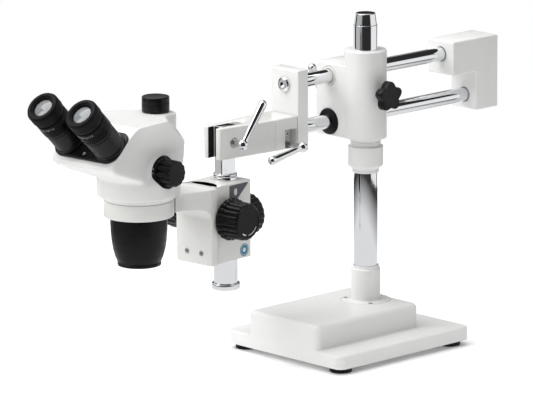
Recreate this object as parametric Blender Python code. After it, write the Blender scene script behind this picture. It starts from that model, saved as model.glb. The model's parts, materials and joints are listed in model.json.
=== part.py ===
"""Stereo microscope with a trinocular zoom head, hung from a double-arm boom stand.

Lengths are in millimetres and are turned into metres as each mesh is made.
The stand is described from the column axis: +X is the side of the star knob,
-Y is the way the boom reaches out to the head, and +Z is up.
The hanging head is described from the focus post axis, in a frame that is
turned a few degrees about the post.
"""
import math

import bmesh
import bpy

MM = 0.001

# Where the column axis stands: the part's origin is the centre of its footprint.
COLUMN_POS = (0.0, 134.0)

# Base
BASE_SIZE = (222.6, 247.2)
BASE_CENTRE_Y = -33.8
BASE_CORNER = 12.0
FOOT_HEIGHT = 7.4
PLATE_TOP = 26.0
PLINTH_WIDTH = 134.2
PLINTH_REAR_Y = 35.2
PLINTH_TOP = 59.7
FOOT_RADIUS = 15.0
FOOT_INSET = 20.5
FOOT_POCKET = 2.0
SOCKET_FLOOR = 14.0

# Column and what sits on it
COLUMN_RADIUS = 16.0
COLUMN_BORE = 12.0
COLUMN_TOP = 438.0
CAP_TOP = 454.0
CAP_RIM = (13.6, 452.4)
FLANGE_RADIUS = 33.7
FLANGE_SINK = 4.6
FLANGE_TOP = 60.1
SLEEVE_RADIUS = 20.0
SLEEVE_TOP = 104.0
SLEEVE_LIP = 108.0
SLIP = 0.3
COLLAR_RADIUS = 23.8
COLLAR_NECK = 20.3
COLLAR_FOOT = 17.9
COLLAR_Z = (236.5, 241.3, 246.7, 272.8, 279.2)
COLLAR_SCREW_AIM = 104.0
COLLAR_SCREW_Z = 262.5
COLLAR_SCREW_RADII = (2.9, 7.0)

# Carriage that holds the two boom rods
CARRIAGE_Z = (284.0, 404.5)
CARRIAGE_RADIUS = 28.5
CARRIAGE_FOOT = (20.6, 279.5)
SLAB_OUTER_X = -70.0
SLAB_HALF_Y = 26.5
SLAB_TOP = 383.0
ROD_X = -44.0
ROD_RADIUS = 9.55
UPPER_ROD_Z = 365.9
LOWER_ROD_Z = 303.0
UPPER_BUSH_RADIUS = 12.5
LOWER_BUSH_RADIUS = 17.3
BUSH_PROUD = (0.8, 3.5)
STAR_Z = 346.0
STAR_X = (36.0, 50.0)
STAR_RADIUS = 20.5
STAR_DEPTH = 4.6
BOOM_LEVER_YZ = (0.0, 330.0)
LEVER_RADII = (4.0, 5.8)
STUD_RADIUS = 3.6
BOLT_HEAD = (7.0, 3.5)

# Blocks at the two ends of the boom
FRONT_BLOCK_X = (-70.2, -17.9)
FRONT_BLOCK_Y = (-108.7, -89.6)
FRONT_BLOCK_Z = (283.5, 386.8)
REAR_BLOCK_X = (-68.8, -19.4)
REAR_BLOCK_Y = (189.0, 234.8, 277.4)
REAR_BLOCK_Z = (283.5, 338.0, 384.8)
ROD_END_WALL = 12.0
ROD_GRIP = 5.0

# Arm with the fork that carries the focus post
ARM_Z = (283.5, 326.0)
KNUCKLE_FRONT_Y = -148.5
FORK_FRONT_Y = -242.4
CLAMP_WINDOW = ((-132.5, -111.0), (285.1, 310.3))
FORK_HALF_WIDTH = 16.0
FORK_CHEEK = 18.9
FORK_SLOT = 7.3
FORK_SLOT_END_Y = -187.0
TILT_Z = 304.5
ARM_LEVER_YZ = (-123.5, 289.5)

# Focus post
POST_POS = (-44.0, -218.6)
POST_RADIUS = 16.0
POST_BORE = 12.5
POST_Z = (107.0, 257.5)
POST_COLLAR_RADIUS = 19.2
POST_COLLAR_Z = (104.5, 112.5)
BLADE_HALF = (7.0, 13.0)
BLADE_Z = (257.8, 326.0)
HEAD_YAW = 4.5

# Focus mount, seen from the post axis
HOLDER_HALF_X = 27.0
HOLDER_Y = (-46.0, 21.5)
HOLDER_Z = (148.7, 253.3)
LINER_WALL = 1.4
CHANNEL_HALF = 17.0
CHANNEL_Y = -37.0
RACK_HALF = 5.5
RACK_SLOT_Y = -32.5
PINION_Y = -29.0
PINION_Z = 209.0
PINION_TEETH = 12
MODULE = 1.1
ADDENDUM = 0.8
ROOT_ANGLE = 9.5
TIP_ANGLE = 3.2
SHAFT_RADIUS = 5.0
FOCUS_KNOB_X = (32.6, 67.5)
REAR_KNOB_Y = (26.0, 48.8)
REAR_KNOB_Z = 198.7
SLIDE_HALF_X = 32.0
SLIDE_Y = (-62.0, -51.0, -46.4)
SLIDE_Z = (149.0, 252.8)
RACK_BED_Y = -41.0
ARM_PLATE_BOTTOM = 224.0
ARM_FILLET = 12.0
BRACKET_SCREWS = (12.7, 164.6)

# Ring and head, seen from the head axis
HEAD_Y = -167.5
RING_RADII = (38.3, 46.0)
RING_Z = (233.0, 254.6)
RING_SCREW_AIM = 137.0
HOUSING_NECK = 37.9
BARREL_RADIUS = 54.8
PLATE_PLANE = 428.0
PLATE_THICKNESS = 3.7
PLATE_HALF_X = 56.0
PLATE_REACH = (154.6, 203.0)
EYE_HALF_SPACING = 34.5
EYE_REACH = 178.5
TUBE_RADIUS = 21.0
EYE_FLANGE = 22.6
EYE_STATIONS = (0.3, 3.0, 32.7, 33.0, 45.7, 46.0, 74.6)
ZOOM_Z = 297.0
ZOOM_KNOB_X = (40.0, 68.4)
ZOOM_SHAFT_RADIUS = 4.0
ZOOM_SEAT_RADIUS = 21.0
SEAT_RIM = (23.2, 43.6)
DISH_CENTRE = (81.0, -8.0, 304.0)
DISH_RADII = (40.0, 131.0, 81.0)
BOSS_HALF_X = 26.0
BOSS_ARC = (15.3, 39.7)
FALL_START = (54.7, -1.0)
FALL_AIM = 48.9
FALL_SLOPE = 1.35
WALL = 4.0
PORT_Y = 33.8
PORT_RADIUS = 14.0
HOUSING_TOP = 365.0
CAP_RADIUS = 18.2
PORT_CAP_Z = (366.3, 386.0)

MATERIALS = {
    "painted_white": ((0.80, 0.80, 0.78), 0.0, 0.35),
    "cast_white": ((0.78, 0.78, 0.76), 0.0, 0.45),
    "chrome": ((0.75, 0.76, 0.78), 1.0, 0.12),
    "steel": ((0.55, 0.55, 0.56), 1.0, 0.35),
    "black_metal": ((0.03, 0.03, 0.035), 0.6, 0.35),
    "black_plastic": ((0.03, 0.03, 0.032), 0.0, 0.45),
    "black_rubber": ((0.02, 0.02, 0.02), 0.0, 0.75),
    "brass": ((0.72, 0.55, 0.25), 1.0, 0.3),
    "nylon": ((0.85, 0.84, 0.80), 0.0, 0.5),
    "glass": ((0.75, 0.82, 0.88), 0.0, 0.05),
}


# ---------------------------------------------------------------- helpers

def clear_scene():
    for obj in list(bpy.data.objects):
        bpy.data.objects.remove(obj, do_unlink=True)


def material(slot):
    made = bpy.data.materials.get(slot)
    if made:
        return made
    colour, metallic, roughness = MATERIALS[slot]
    made = bpy.data.materials.new(slot)
    made.use_nodes = True
    shader = made.node_tree.nodes["Principled BSDF"]
    shader.inputs["Base Color"].default_value = (*colour, 1.0)
    shader.inputs["Metallic"].default_value = metallic
    shader.inputs["Roughness"].default_value = roughness
    return made


def frame(name, location, rotation=(0.0, 0.0, 0.0), parent=None):
    """An empty that carries a group of pieces."""
    empty = bpy.data.objects.new(name, None)
    bpy.context.scene.collection.objects.link(empty)
    empty.location = [value * MM for value in location]
    empty.rotation_euler = [math.radians(angle) for angle in rotation]
    empty.parent = parent
    return empty


def place(name, bm, slot, parent, location=(0.0, 0.0, 0.0), rotation=(0.0, 0.0, 0.0)):
    """Turn a bmesh drawn in millimetres into a named object under its parent."""
    bmesh.ops.scale(bm, vec=(MM, MM, MM), verts=bm.verts)
    bmesh.ops.recalc_face_normals(bm, faces=bm.faces)
    mesh = bpy.data.meshes.new(name)
    bm.to_mesh(mesh)
    bm.free()
    obj = bpy.data.objects.new(name, mesh)
    bpy.context.scene.collection.objects.link(obj)
    obj.location = [value * MM for value in location]
    obj.rotation_euler = [math.radians(angle) for angle in rotation]
    obj.parent = parent
    if slot:
        mesh.materials.append(material(slot))
    return obj


def smooth(obj, angle=35.0):
    """Shade round faces smoothly and keep crisp edges."""
    obj.data.shade_smooth()
    obj.data.set_sharp_from_angle(angle=math.radians(angle))
    return obj


def loft(bm, sections, close_ends=True):
    """Skin a list of equally long point rings; ends are capped."""
    rings = [[bm.verts.new(point) for point in section] for section in sections]
    count = len(rings[0])
    for lower, upper in zip(rings, rings[1:]):
        for i in range(count):
            j = (i + 1) % count
            bm.faces.new((lower[i], lower[j], upper[j], upper[i]))
    if close_ends:
        bm.faces.new(list(reversed(rings[0])))
        bm.faces.new(rings[-1])
    else:
        for i in range(count):
            j = (i + 1) % count
            bm.faces.new((rings[-1][i], rings[-1][j], rings[0][j], rings[0][i]))
    return bm


def circle(radius, z, segments, start=0.0):
    turns = [start + math.tau * i / segments for i in range(segments)]
    return [(radius * math.cos(turn), radius * math.sin(turn), z) for turn in turns]


def turned(profile, segments=32, hollow=False):
    """A solid of revolution about Z from (radius, z) points, or a closed ring if hollow."""
    sections = [circle(radius, z, segments) for radius, z in profile]
    return loft(bmesh.new(), sections, close_ends=not hollow)


def rounded_rect(half_x, half_y, corner, steps=5, centre=(0.0, 0.0)):
    """Outline of a rectangle with rounded corners, anticlockwise."""
    points = []
    corners = ((1, 1, 0), (-1, 1, 90), (-1, -1, 180), (1, -1, 270))
    for sx, sy, start in corners:
        for i in range(steps + 1):
            angle = math.radians(start + 90 * i / steps)
            points.append((centre[0] + sx * (half_x - corner) + corner * math.cos(angle),
                           centre[1] + sy * (half_y - corner) + corner * math.sin(angle)))
    return points


def both_sides(right):
    """Close an outline that is given for its right half only."""
    return right + [(-x, y) for x, y in reversed(right)]


def prism(outline, low, high):
    return loft(bmesh.new(), [[(x, y, z) for x, y in outline] for z in (low, high)])


def box(x, y, z):
    outline = [(x[0], y[0]), (x[1], y[0]), (x[1], y[1]), (x[0], y[1])]
    return prism(outline, z[0], z[1])


def bevelled(obj, width, segments=3, angle=40.0):
    """Round the sharp edges with a bevel modifier."""
    bevel = obj.modifiers.new("edge_rounding", "BEVEL")
    bevel.width = width * MM
    bevel.segments = segments
    bevel.limit_method = "ANGLE"
    bevel.angle_limit = math.radians(angle)
    return obj


def cut(obj, name, bm, location=(0.0, 0.0, 0.0), rotation=(0.0, 0.0, 0.0), operation="DIFFERENCE"):
    """Cut, join or intersect with a hidden solid that shares the object's parent."""
    tool = place(obj.name + "_" + name, bm, None, obj.parent, location, rotation)
    tool.hide_render = True
    tool.display_type = "WIRE"
    boolean = obj.modifiers.new(name, "BOOLEAN")
    boolean.operation = operation
    boolean.solver = "EXACT"
    boolean.object = tool
    return tool


def along_x(turn=90.0):
    """Rotation that lays a turned piece's axis along +X."""
    return (0.0, turn, 0.0)


def lobed(radius, depth, lobes, z, sharp=1.0, segments=None, start=0.0):
    """Outline with rounded lobes, for knobs and grips; the first lobe is at the start angle."""
    segments = segments or lobes * 3
    points = []
    for i in range(segments):
        angle = math.tau * i / segments
        wave = 0.5 + 0.5 * math.cos(lobes * angle)
        size = radius - depth * (1.0 - wave ** sharp)
        points.append((size * math.cos(angle + start), size * math.sin(angle + start), z))
    return points


# ---------------------------------------------------------------- base and column

def build_base(parent):
    half_x, half_y = BASE_SIZE[0] / 2, BASE_SIZE[1] / 2
    bm = bmesh.new()
    centre = (0.0, BASE_CENTRE_Y)
    edge = 3.0
    levels = ((FOOT_HEIGHT, 1.0), (FOOT_HEIGHT + 1.0, 0.0), (PLATE_TOP - edge, 0.0),
              (PLATE_TOP - 0.9, 0.9), (PLATE_TOP, edge))
    sections = []
    for z, inset in levels:
        outline = rounded_rect(half_x - inset, half_y - inset, BASE_CORNER - inset, 5, centre)
        sections.append([(x, y, z) for x, y in outline])
    loft(bm, sections)
    base = place("base_casting", bm, "cast_white", parent)
    front = BASE_CENTRE_Y - half_y
    plinth = bmesh.new()
    crown = 7.0
    levels = ((FOOT_HEIGHT + 2.0, 0.0), (PLINTH_TOP - crown, 0.0), (PLINTH_TOP - 0.35 * crown, 0.3 * crown),
              (PLINTH_TOP, crown))
    sections = []
    for z, inset in levels:
        half_depth = (PLINTH_REAR_Y - front) / 2 - inset
        middle = (0.0, (PLINTH_REAR_Y + front) / 2)
        outline = rounded_rect(PLINTH_WIDTH / 2 - inset, half_depth, 9.0, 5, middle)
        sections.append([(x, y, z) for x, y in outline])
    loft(plinth, sections)
    cut(base, "plinth", plinth, operation="UNION")
    socket, recess = COLUMN_RADIUS + SLIP, FLANGE_RADIUS + SLIP
    step = PLINTH_TOP - FLANGE_SINK
    above = PLINTH_TOP + 10.0
    profile = [(socket, SOCKET_FLOOR), (socket, step), (recess, step), (recess, above)]
    cut(base, "column_socket", turned(profile))
    for side in (-1, 1):
        for end in (-1, 1):
            spot = (side * (half_x - FOOT_INSET), BASE_CENTRE_Y + end * (half_y - FOOT_INSET))
            pocket = turned([(FOOT_RADIUS + SLIP, 0.0), (FOOT_RADIUS + SLIP, FOOT_HEIGHT + FOOT_POCKET)], 20)
            cut(base, "foot_pocket_%d%d" % (side, end), pocket, (*spot, 0.0))
    return smooth(base)


def build_feet(parent):
    half_x, half_y = BASE_SIZE[0] / 2, BASE_SIZE[1] / 2
    top = FOOT_HEIGHT + FOOT_POCKET - SLIP
    profile = [(FOOT_RADIUS - 2.0, 0.0), (FOOT_RADIUS - 0.6, 0.8), (FOOT_RADIUS, 3.0), (FOOT_RADIUS, top)]
    for side_name, side in (("left", -1), ("right", 1)):
        for end_name, end in (("front", -1), ("rear", 1)):
            spot = (side * (half_x - FOOT_INSET), BASE_CENTRE_Y + end * (half_y - FOOT_INSET), 0.0)
            name = "foot_%s_%s" % (end_name, side_name)
            smooth(place(name, turned(profile, 20), "black_rubber", parent, spot))


def build_column(parent):
    inner = COLUMN_RADIUS + SLIP
    low = PLINTH_TOP - FLANGE_SINK + SLIP
    lip = SLEEVE_RADIUS - 1.8
    profile = [(inner, low), (FLANGE_RADIUS, low), (FLANGE_RADIUS, FLANGE_TOP - 0.4),
               (FLANGE_RADIUS - 0.4, FLANGE_TOP), (SLEEVE_RADIUS, FLANGE_TOP),
               (SLEEVE_RADIUS, SLEEVE_TOP - 1.0), (lip, SLEEVE_TOP), (lip, SLEEVE_LIP), (inner, SLEEVE_LIP)]
    smooth(place("column_flange", turned(profile, 32, hollow=True), "painted_white", parent))

    bottom = SOCKET_FLOOR + SLIP
    profile = [(COLUMN_BORE, bottom), (COLUMN_RADIUS - 1.0, bottom), (COLUMN_RADIUS, bottom + 1.0),
               (COLUMN_RADIUS, COLUMN_TOP), (COLUMN_BORE, COLUMN_TOP)]
    smooth(place("column", turned(profile, 36, hollow=True), "chrome", parent))
    spigot, seam = COLUMN_BORE - SLIP, COLUMN_TOP + SLIP
    profile = [(spigot, COLUMN_TOP - 8.0), (spigot, seam), (COLUMN_RADIUS - 0.4, seam), CAP_RIM,
               (CAP_RIM[0] - 1.0, CAP_TOP)]
    smooth(place("column_cap", turned(profile, 28), "chrome", parent))


def build_stop_collar(parent):
    inner = COLUMN_RADIUS + SLIP
    foot, taper, body, neck, top = COLLAR_Z
    edge = 0.8
    profile = [(inner, foot), (COLLAR_FOOT, foot), (COLLAR_FOOT, taper), (COLLAR_RADIUS, body),
               (COLLAR_RADIUS, neck - edge), (COLLAR_RADIUS - edge, neck), (COLLAR_NECK, neck),
               (COLLAR_NECK, top), (inner, top)]
    collar = place("stop_collar", turned(profile, 32, hollow=True), "painted_white", parent)
    spot, aim = (0.0, 0.0, COLLAR_SCREW_Z), (0.0, 90.0, COLLAR_SCREW_AIM)
    shank, head = COLLAR_SCREW_RADII
    hole = turned([(shank + 0.4, inner - 1.0), (shank + 0.4, COLLAR_RADIUS + 3.0)], 16)
    cut(collar, "screw_hole", hole, spot, aim)
    smooth(collar)
    start = COLLAR_RADIUS + 2.0
    profile = [(shank, inner + SLIP), (shank, start), (head - 0.5, start), (head, start + 1.0),
               (head, start + 6.0), (head - 0.8, start + 7.0)]
    smooth(place("collar_screw", turned(profile, 20), "black_metal", parent, spot, aim))


# ---------------------------------------------------------------- carriage and boom

def build_carriage(parent):
    low, high = CARRIAGE_Z
    bore = COLUMN_RADIUS + SLIP
    foot_radius, foot = CARRIAGE_FOOT
    edge = 1.0
    profile = [(foot_radius, foot), (foot_radius, low), (CARRIAGE_RADIUS - edge, low),
               (CARRIAGE_RADIUS, low + edge), (CARRIAGE_RADIUS, high - edge), (CARRIAGE_RADIUS - edge, high)]
    carriage = place("carriage", turned(profile, 36), "painted_white", parent)
    inner_x = 2.0
    middle = ((inner_x + SLAB_OUTER_X) / 2, 0.0)
    outline = rounded_rect((inner_x - SLAB_OUTER_X) / 2, SLAB_HALF_Y, 4.0, 4, middle)
    cut(carriage, "slab", prism(outline, low, SLAB_TOP), operation="UNION")
    cut(carriage, "column_bore", turned([(bore, low - 5.0), (bore, high + 5.0)], 32))
    for name, z, radius in (("upper", UPPER_ROD_Z, UPPER_BUSH_RADIUS),
                            ("lower", LOWER_ROD_Z, LOWER_BUSH_RADIUS)):
        hole = turned([(radius + SLIP, -40.0), (radius + SLIP, 40.0)], 32)
        cut(carriage, name + "_rod_bore", hole, (ROD_X, 0.0, z), (90.0, 0.0, 0.0))
    cut(carriage, "star_hole", turned([(5.3, bore - 3.0), (5.3, CARRIAGE_RADIUS + 5.0)], 16),
        (0.0, 0.0, STAR_Z), along_x())
    cut(carriage, "boom_lock_hole", turned([(4.3, -10.0), (4.3, 15.0)], 16),
        (SLAB_OUTER_X + 8.0, *BOOM_LEVER_YZ), along_x(-90.0))
    smooth(carriage)

    inner = ROD_RADIUS + SLIP
    bevel = 1.2
    for name, z, radius, proud, slot in (
            ("upper_bush", UPPER_ROD_Z, UPPER_BUSH_RADIUS, BUSH_PROUD[0], "nylon"),
            ("lower_bush", LOWER_ROD_Z, LOWER_BUSH_RADIUS, BUSH_PROUD[1], "black_plastic")):
        mouth = SLAB_HALF_Y + proud
        profile = [(inner, -mouth), (radius - bevel, -mouth), (radius, bevel - mouth),
                   (radius, mouth - bevel), (radius - bevel, mouth), (inner, mouth)]
        bush = turned(profile, 28, hollow=True)
        smooth(place(name, bush, slot, parent, (ROD_X, 0.0, z), (90.0, 0.0, 0.0)))


def build_star_knob(parent):
    bm = bmesh.new()
    low, high = STAR_X
    rings = []
    for size, x in ((0.88, low), (1.0, low + 2.4), (1.0, high - 2.4), (0.95, high - 0.8), (0.84, high)):
        rings.append(lobed(STAR_RADIUS * size, STAR_DEPTH, 5, x, 1.0, 45, math.pi))
    loft(bm, rings)
    knob = place("star_knob", bm, "black_plastic", parent, (0.0, 0.0, STAR_Z), along_x())
    stud = turned([(4.7, COLUMN_RADIUS + 0.9), (4.7, low + 4.0)], 20)
    cut(knob, "stud", stud, (0.0, 0.0, STAR_Z), along_x(), "UNION")
    smooth(knob)


def lever_parts(name, parent, root, face_x, ball_x, angle, length, side=1, through=None):
    """A clamp lever: a stud along X with a ball hub and a tapered handle on its end.

    The stud enters the face at face_x; one that goes right through has its
    head beyond the x given as through.
    """
    ball = 7.4
    rod, tip = LEVER_RADII
    profile = []
    for degrees in range(20, 156, 22):
        turn = math.radians(degrees)
        profile.append((ball * math.sin(turn), -ball * math.cos(turn)))
    profile += [(rod, ball + 1.0), (rod + 0.7, length * 0.6), (tip - 0.6, length - 9.0),
                (tip, length - 5.0), (tip - 0.7, length - 1.8), (tip - 2.6, length)]
    bm = turned(profile, 16)
    lever = place(name + "_lever", bm, "chrome", parent, (ball_x, *root), (angle, 0.0, 0.0))
    start, end = face_x - side * 4.0, ball_x - side * 3.0
    profile = [(STUD_RADIUS, 0.0), (STUD_RADIUS, abs(end - start))]
    if through is not None:
        start = through - SLIP - BOLT_HEAD[1]
        profile = [(BOLT_HEAD[0], 0.0), (BOLT_HEAD[0], BOLT_HEAD[1]), (STUD_RADIUS, BOLT_HEAD[1]),
                   (STUD_RADIUS, end - start)]
    stud = place(name + "_stud", turned(profile, 16), "steel", parent, (start, *root), along_x(90.0 * side))
    hole = turned([(STUD_RADIUS + SLIP, -ball - 4.0), (STUD_RADIUS + SLIP, -2.7)], 16)
    cut(lever, "stud_hole", hole, (ball_x, *root), along_x(90.0 * side))
    smooth(stud)
    return smooth(lever)


def build_boom(parent):
    rear = REAR_BLOCK_Y[2] - ROD_END_WALL
    length = rear - FRONT_BLOCK_Y[0] - ROD_GRIP
    edge = 0.8
    profile = [(ROD_RADIUS - edge, 0.0), (ROD_RADIUS, edge), (ROD_RADIUS, length - edge),
               (ROD_RADIUS - edge, length)]
    for name, z in (("upper_rod", UPPER_ROD_Z), ("lower_rod", LOWER_ROD_Z)):
        smooth(place(name, turned(profile, 32), "chrome", parent, (ROD_X, rear, z), (90.0, 0.0, 0.0)))

    block = place("front_block", box(FRONT_BLOCK_X, FRONT_BLOCK_Y, FRONT_BLOCK_Z), "painted_white", parent)
    bevelled(block, 1.2, 2)
    bore = ROD_RADIUS + SLIP
    for name, z in (("upper", UPPER_ROD_Z), ("lower", LOWER_ROD_Z)):
        hole = turned([(bore, -9.0), (bore, 9.0)], 28)
        rear_face = FRONT_BLOCK_Y[1]
        cut(block, name + "_bore", hole, (ROD_X, rear_face - 5.8, z), (90.0, 0.0, 0.0))
    cut(block, "bolt_hole", turned([(4.3, -9.0), (4.3, 9.0)], 20), (ROD_X, FRONT_BLOCK_Y[0], UPPER_ROD_Z),
        (90.0, 0.0, 0.0))
    smooth(block)

    profile = [(9.8, 0.3), (9.8, 2.8), (8.2, 4.2), (4.2, 4.2), (4.2, 1.8)]
    bolt = place("rod_end_bolt", turned(profile, 24), "chrome", parent,
                 (ROD_X, FRONT_BLOCK_Y[0], UPPER_ROD_Z), (90.0, 0.0, 0.0))
    smooth(bolt)

    low, step, top = REAR_BLOCK_Z
    near, middle, far = REAR_BLOCK_Y
    outline = [(near, step), (middle, step), (middle, low), (far, low), (far, top), (near, top)]
    bm = loft(bmesh.new(), [[(x, y, z) for y, z in outline] for x in REAR_BLOCK_X])
    weight = bevelled(place("rear_block", bm, "cast_white", parent), 1.2, 2)
    for name, z, start in (("upper", UPPER_ROD_Z, near), ("lower", LOWER_ROD_Z, middle)):
        floor = far - ROD_END_WALL + SLIP
        hole = turned([(bore, 0.0), (bore, floor - start + 5.0)], 28)
        cut(weight, name + "_bore", hole, (ROD_X, floor, z), (90.0, 0.0, 0.0))
    smooth(weight)


# ---------------------------------------------------------------- fork arm and post

def build_front_arm(parent):
    low, high = ARM_Z
    knuckle = (FRONT_BLOCK_X[1] - FRONT_BLOCK_X[0]) / 2 - 1.0
    rear = FRONT_BLOCK_Y[0] - SLIP
    neck = KNUCKLE_FRONT_Y - 5.0
    side = [(knuckle, rear), (knuckle, KNUCKLE_FRONT_Y), (knuckle - 1.4, neck),
            (FORK_HALF_WIDTH, FORK_FRONT_Y)]
    slot = [(FORK_SLOT, FORK_FRONT_Y)]
    for angle in (0, 20, 40, 60, 80):
        turn = math.radians(angle)
        slot.append((FORK_SLOT * math.cos(turn), FORK_SLOT_END_Y - FORK_SLOT * (1.0 - math.sin(turn))))
    pivot = (ROD_X, 0.0, LOWER_ROD_Z)
    bm = prism(both_sides(side + slot), low - LOWER_ROD_Z, high - LOWER_ROD_Z)
    arm = bevelled(place("front_arm", bm, "painted_white", parent, pivot), 2.0, 2)
    cut(arm, "rod_bore", turned([(ROD_RADIUS + SLIP, 100.0), (ROD_RADIUS + SLIP, 120.0)], 32), pivot,
        (90.0, 0.0, 0.0))
    cut(arm, "tilt_hole", turned([(4.4, -30.0), (4.4, 30.0)], 20), (ROD_X, POST_POS[1], TILT_Z), along_x())
    window = box((0.0, 30.0), *CLAMP_WINDOW)
    cut(arm, "clamp_window", window, (ROD_X + 13.0, 0.0, 0.0))
    cut(arm, "lever_hole", turned([(3.9, 5.0), (3.9, 20.0)], 16), (ROD_X, *ARM_LEVER_YZ), along_x())
    smooth(arm)


def build_post(parent):
    axis = (*POST_POS, TILT_Z)
    low, high = (z - TILT_Z for z in POST_Z)
    profile = [(POST_BORE, low), (POST_RADIUS, low), (POST_RADIUS, high), (POST_BORE, high)]
    smooth(place("focus_post", turned(profile, 36, hollow=True), "chrome", parent, axis))

    base, top = (z - TILT_Z for z in BLADE_Z)
    half_x, half_y = BLADE_HALF
    bm = turned([(POST_RADIUS, base), (POST_RADIUS, base + 2.6), (POST_RADIUS - 0.6, base + 3.2)], 32)
    blade = place("post_blade", bm, "chrome", parent, axis)
    tongue = prism(rounded_rect(half_x, half_y, 1.5, 3), base + 1.0, top)
    cut(blade, "tongue", tongue, axis, operation="UNION")
    tongue_bore = turned([(4.4, -20.0), (4.4, 20.0)], 20)
    cut(blade, "pivot_hole", tongue_bore, axis, along_x())
    spigot = turned([(POST_BORE - SLIP, base - 12.0), (POST_BORE - SLIP, base + 1.0)], 24)
    cut(blade, "spigot", spigot, axis, operation="UNION")
    smooth(blade)

    low, high = (z - TILT_Z for z in POST_COLLAR_Z)
    outer, bore = POST_COLLAR_RADIUS, POST_RADIUS + SLIP
    profile = [(outer - 1.2, low), (outer, low + 1.2), (outer, high - 1.0), (outer - 1.0, high),
               (bore, high), (bore, low + 2.2)]
    smooth(place("post_collar", turned(profile, 28), "chrome", parent, axis))


# ---------------------------------------------------------------- focus mount

def ribbed_knob(name, parent, slot, profile, ribs, depth, location, rotation):
    """A knob with ribs on its side and plain faces."""
    bm = bmesh.new()
    segments = ribs * 3
    rings = []
    for radius, z, ribbed in profile:
        if ribbed:
            rings.append(lobed(radius, depth, ribs, z, 0.6, segments))
        else:
            rings.append(circle(radius, z, segments))
    loft(bm, rings)
    return smooth(place(name, bm, slot, parent, location, rotation), 28.0)


def build_holder(parent):
    half = HOLDER_HALF_X
    front, rear = HOLDER_Y
    low, high = HOLDER_Z
    slot = RACK_HALF + 1.0
    right = [(slot, RACK_SLOT_Y), (slot, CHANNEL_Y), (CHANNEL_HALF, CHANNEL_Y), (CHANNEL_HALF, front),
             (half, front), (half, rear - 3.0), (half - 3.0, rear)]
    holder = place("post_holder", prism(both_sides(right), low, high), "painted_white", parent)
    bore = POST_RADIUS + 2 * SLIP + LINER_WALL
    cut(holder, "post_bore", turned([(bore, low - 5.0), (bore, high + 5.0)], 36))
    axis = (0.0, PINION_Y, PINION_Z)
    shaft = turned([(SHAFT_RADIUS + SLIP, -40.0), (SHAFT_RADIUS + SLIP, 40.0)], 24)
    cut(holder, "shaft_bore", shaft, axis, along_x())
    pocket = MODULE * PINION_TEETH / 2 + ADDENDUM + 0.5
    cut(holder, "pinion_pocket", turned([(pocket, -slot), (pocket, slot)], 24), axis, along_x())
    cut(holder, "clamp_hole", turned([(4.3, -rear - 5.0), (4.3, -bore + 3.0)], 16), (0.0, 0.0, REAR_KNOB_Z),
        (90.0, 0.0, 0.0))
    smooth(holder)

    inner, outer = POST_RADIUS + SLIP, POST_RADIUS + SLIP + LINER_WALL
    profile = [(inner, low), (outer, low), (outer, high), (inner, high)]
    smooth(place("holder_liner", turned(profile, 36, hollow=True), "nylon", parent))

    start, end = REAR_KNOB_Y
    profile = [(26.0, start, False), (28.4, start + 2.5, True), (28.4, end - 2.5, True), (26.0, end, False)]
    axis, lay = (0.0, 0.0, REAR_KNOB_Z), (-90.0, 0.0, 0.0)
    knob = ribbed_knob("post_clamp_knob", parent, "black_plastic", profile, 18, 1.5, axis, lay)
    stud = turned([(3.9, outer + SLIP), (3.9, start + 5.0)], 16)
    cut(knob, "stud", stud, axis, lay, "UNION")


def gear_ring(z):
    """Section of the pinion: straight-sided teeth with one tooth facing -X."""
    pitch = MODULE * PINION_TEETH / 2
    root, tip = pitch - 1.2 * ADDENDUM, pitch + ADDENDUM
    points = []
    for tooth in range(PINION_TEETH):
        centre = math.pi + math.tau * tooth / PINION_TEETH
        for angle, radius in ((-ROOT_ANGLE, root), (-TIP_ANGLE, tip), (TIP_ANGLE, tip), (ROOT_ANGLE, root)):
            turn = centre + math.radians(angle)
            points.append((radius * math.cos(turn), radius * math.sin(turn), z))
    return points


def build_focus_drive(parent):
    axis = (0.0, PINION_Y, PINION_Z)
    lay = (90.0, 0.0, 90.0)
    end = FOCUS_KNOB_X[0] + 10.0
    start = math.pi - math.radians(ROOT_ANGLE)
    plain = [circle(SHAFT_RADIUS, z, PINION_TEETH * 4, start) for z in (-end, -RACK_HALF, RACK_HALF, end)]
    bm = loft(bmesh.new(), plain[:2] + [gear_ring(-RACK_HALF), gear_ring(RACK_HALF)] + plain[2:])
    smooth(place("pinion_shaft", bm, "steel", parent, axis, lay))
    low, high = FOCUS_KNOB_X
    profile = [(25.5, low, False), (28.4, low + 3.0, True), (28.4, low + 8.0, True),
               (25.9, low + 10.5, True), (25.7, high - 2.0, True), (22.6, high, False)]
    bore = SHAFT_RADIUS + SLIP
    for name, side in (("focus_knob_right", 1), ("focus_knob_left", -1)):
        lay = along_x(90.0 * side)
        knob = ribbed_knob(name, parent, "black_plastic", profile, 16, 1.5, axis, lay)
        cut(knob, "shaft_hole", turned([(bore, low - 2.0), (bore, low + 10.4)], 24), axis, lay)


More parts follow.
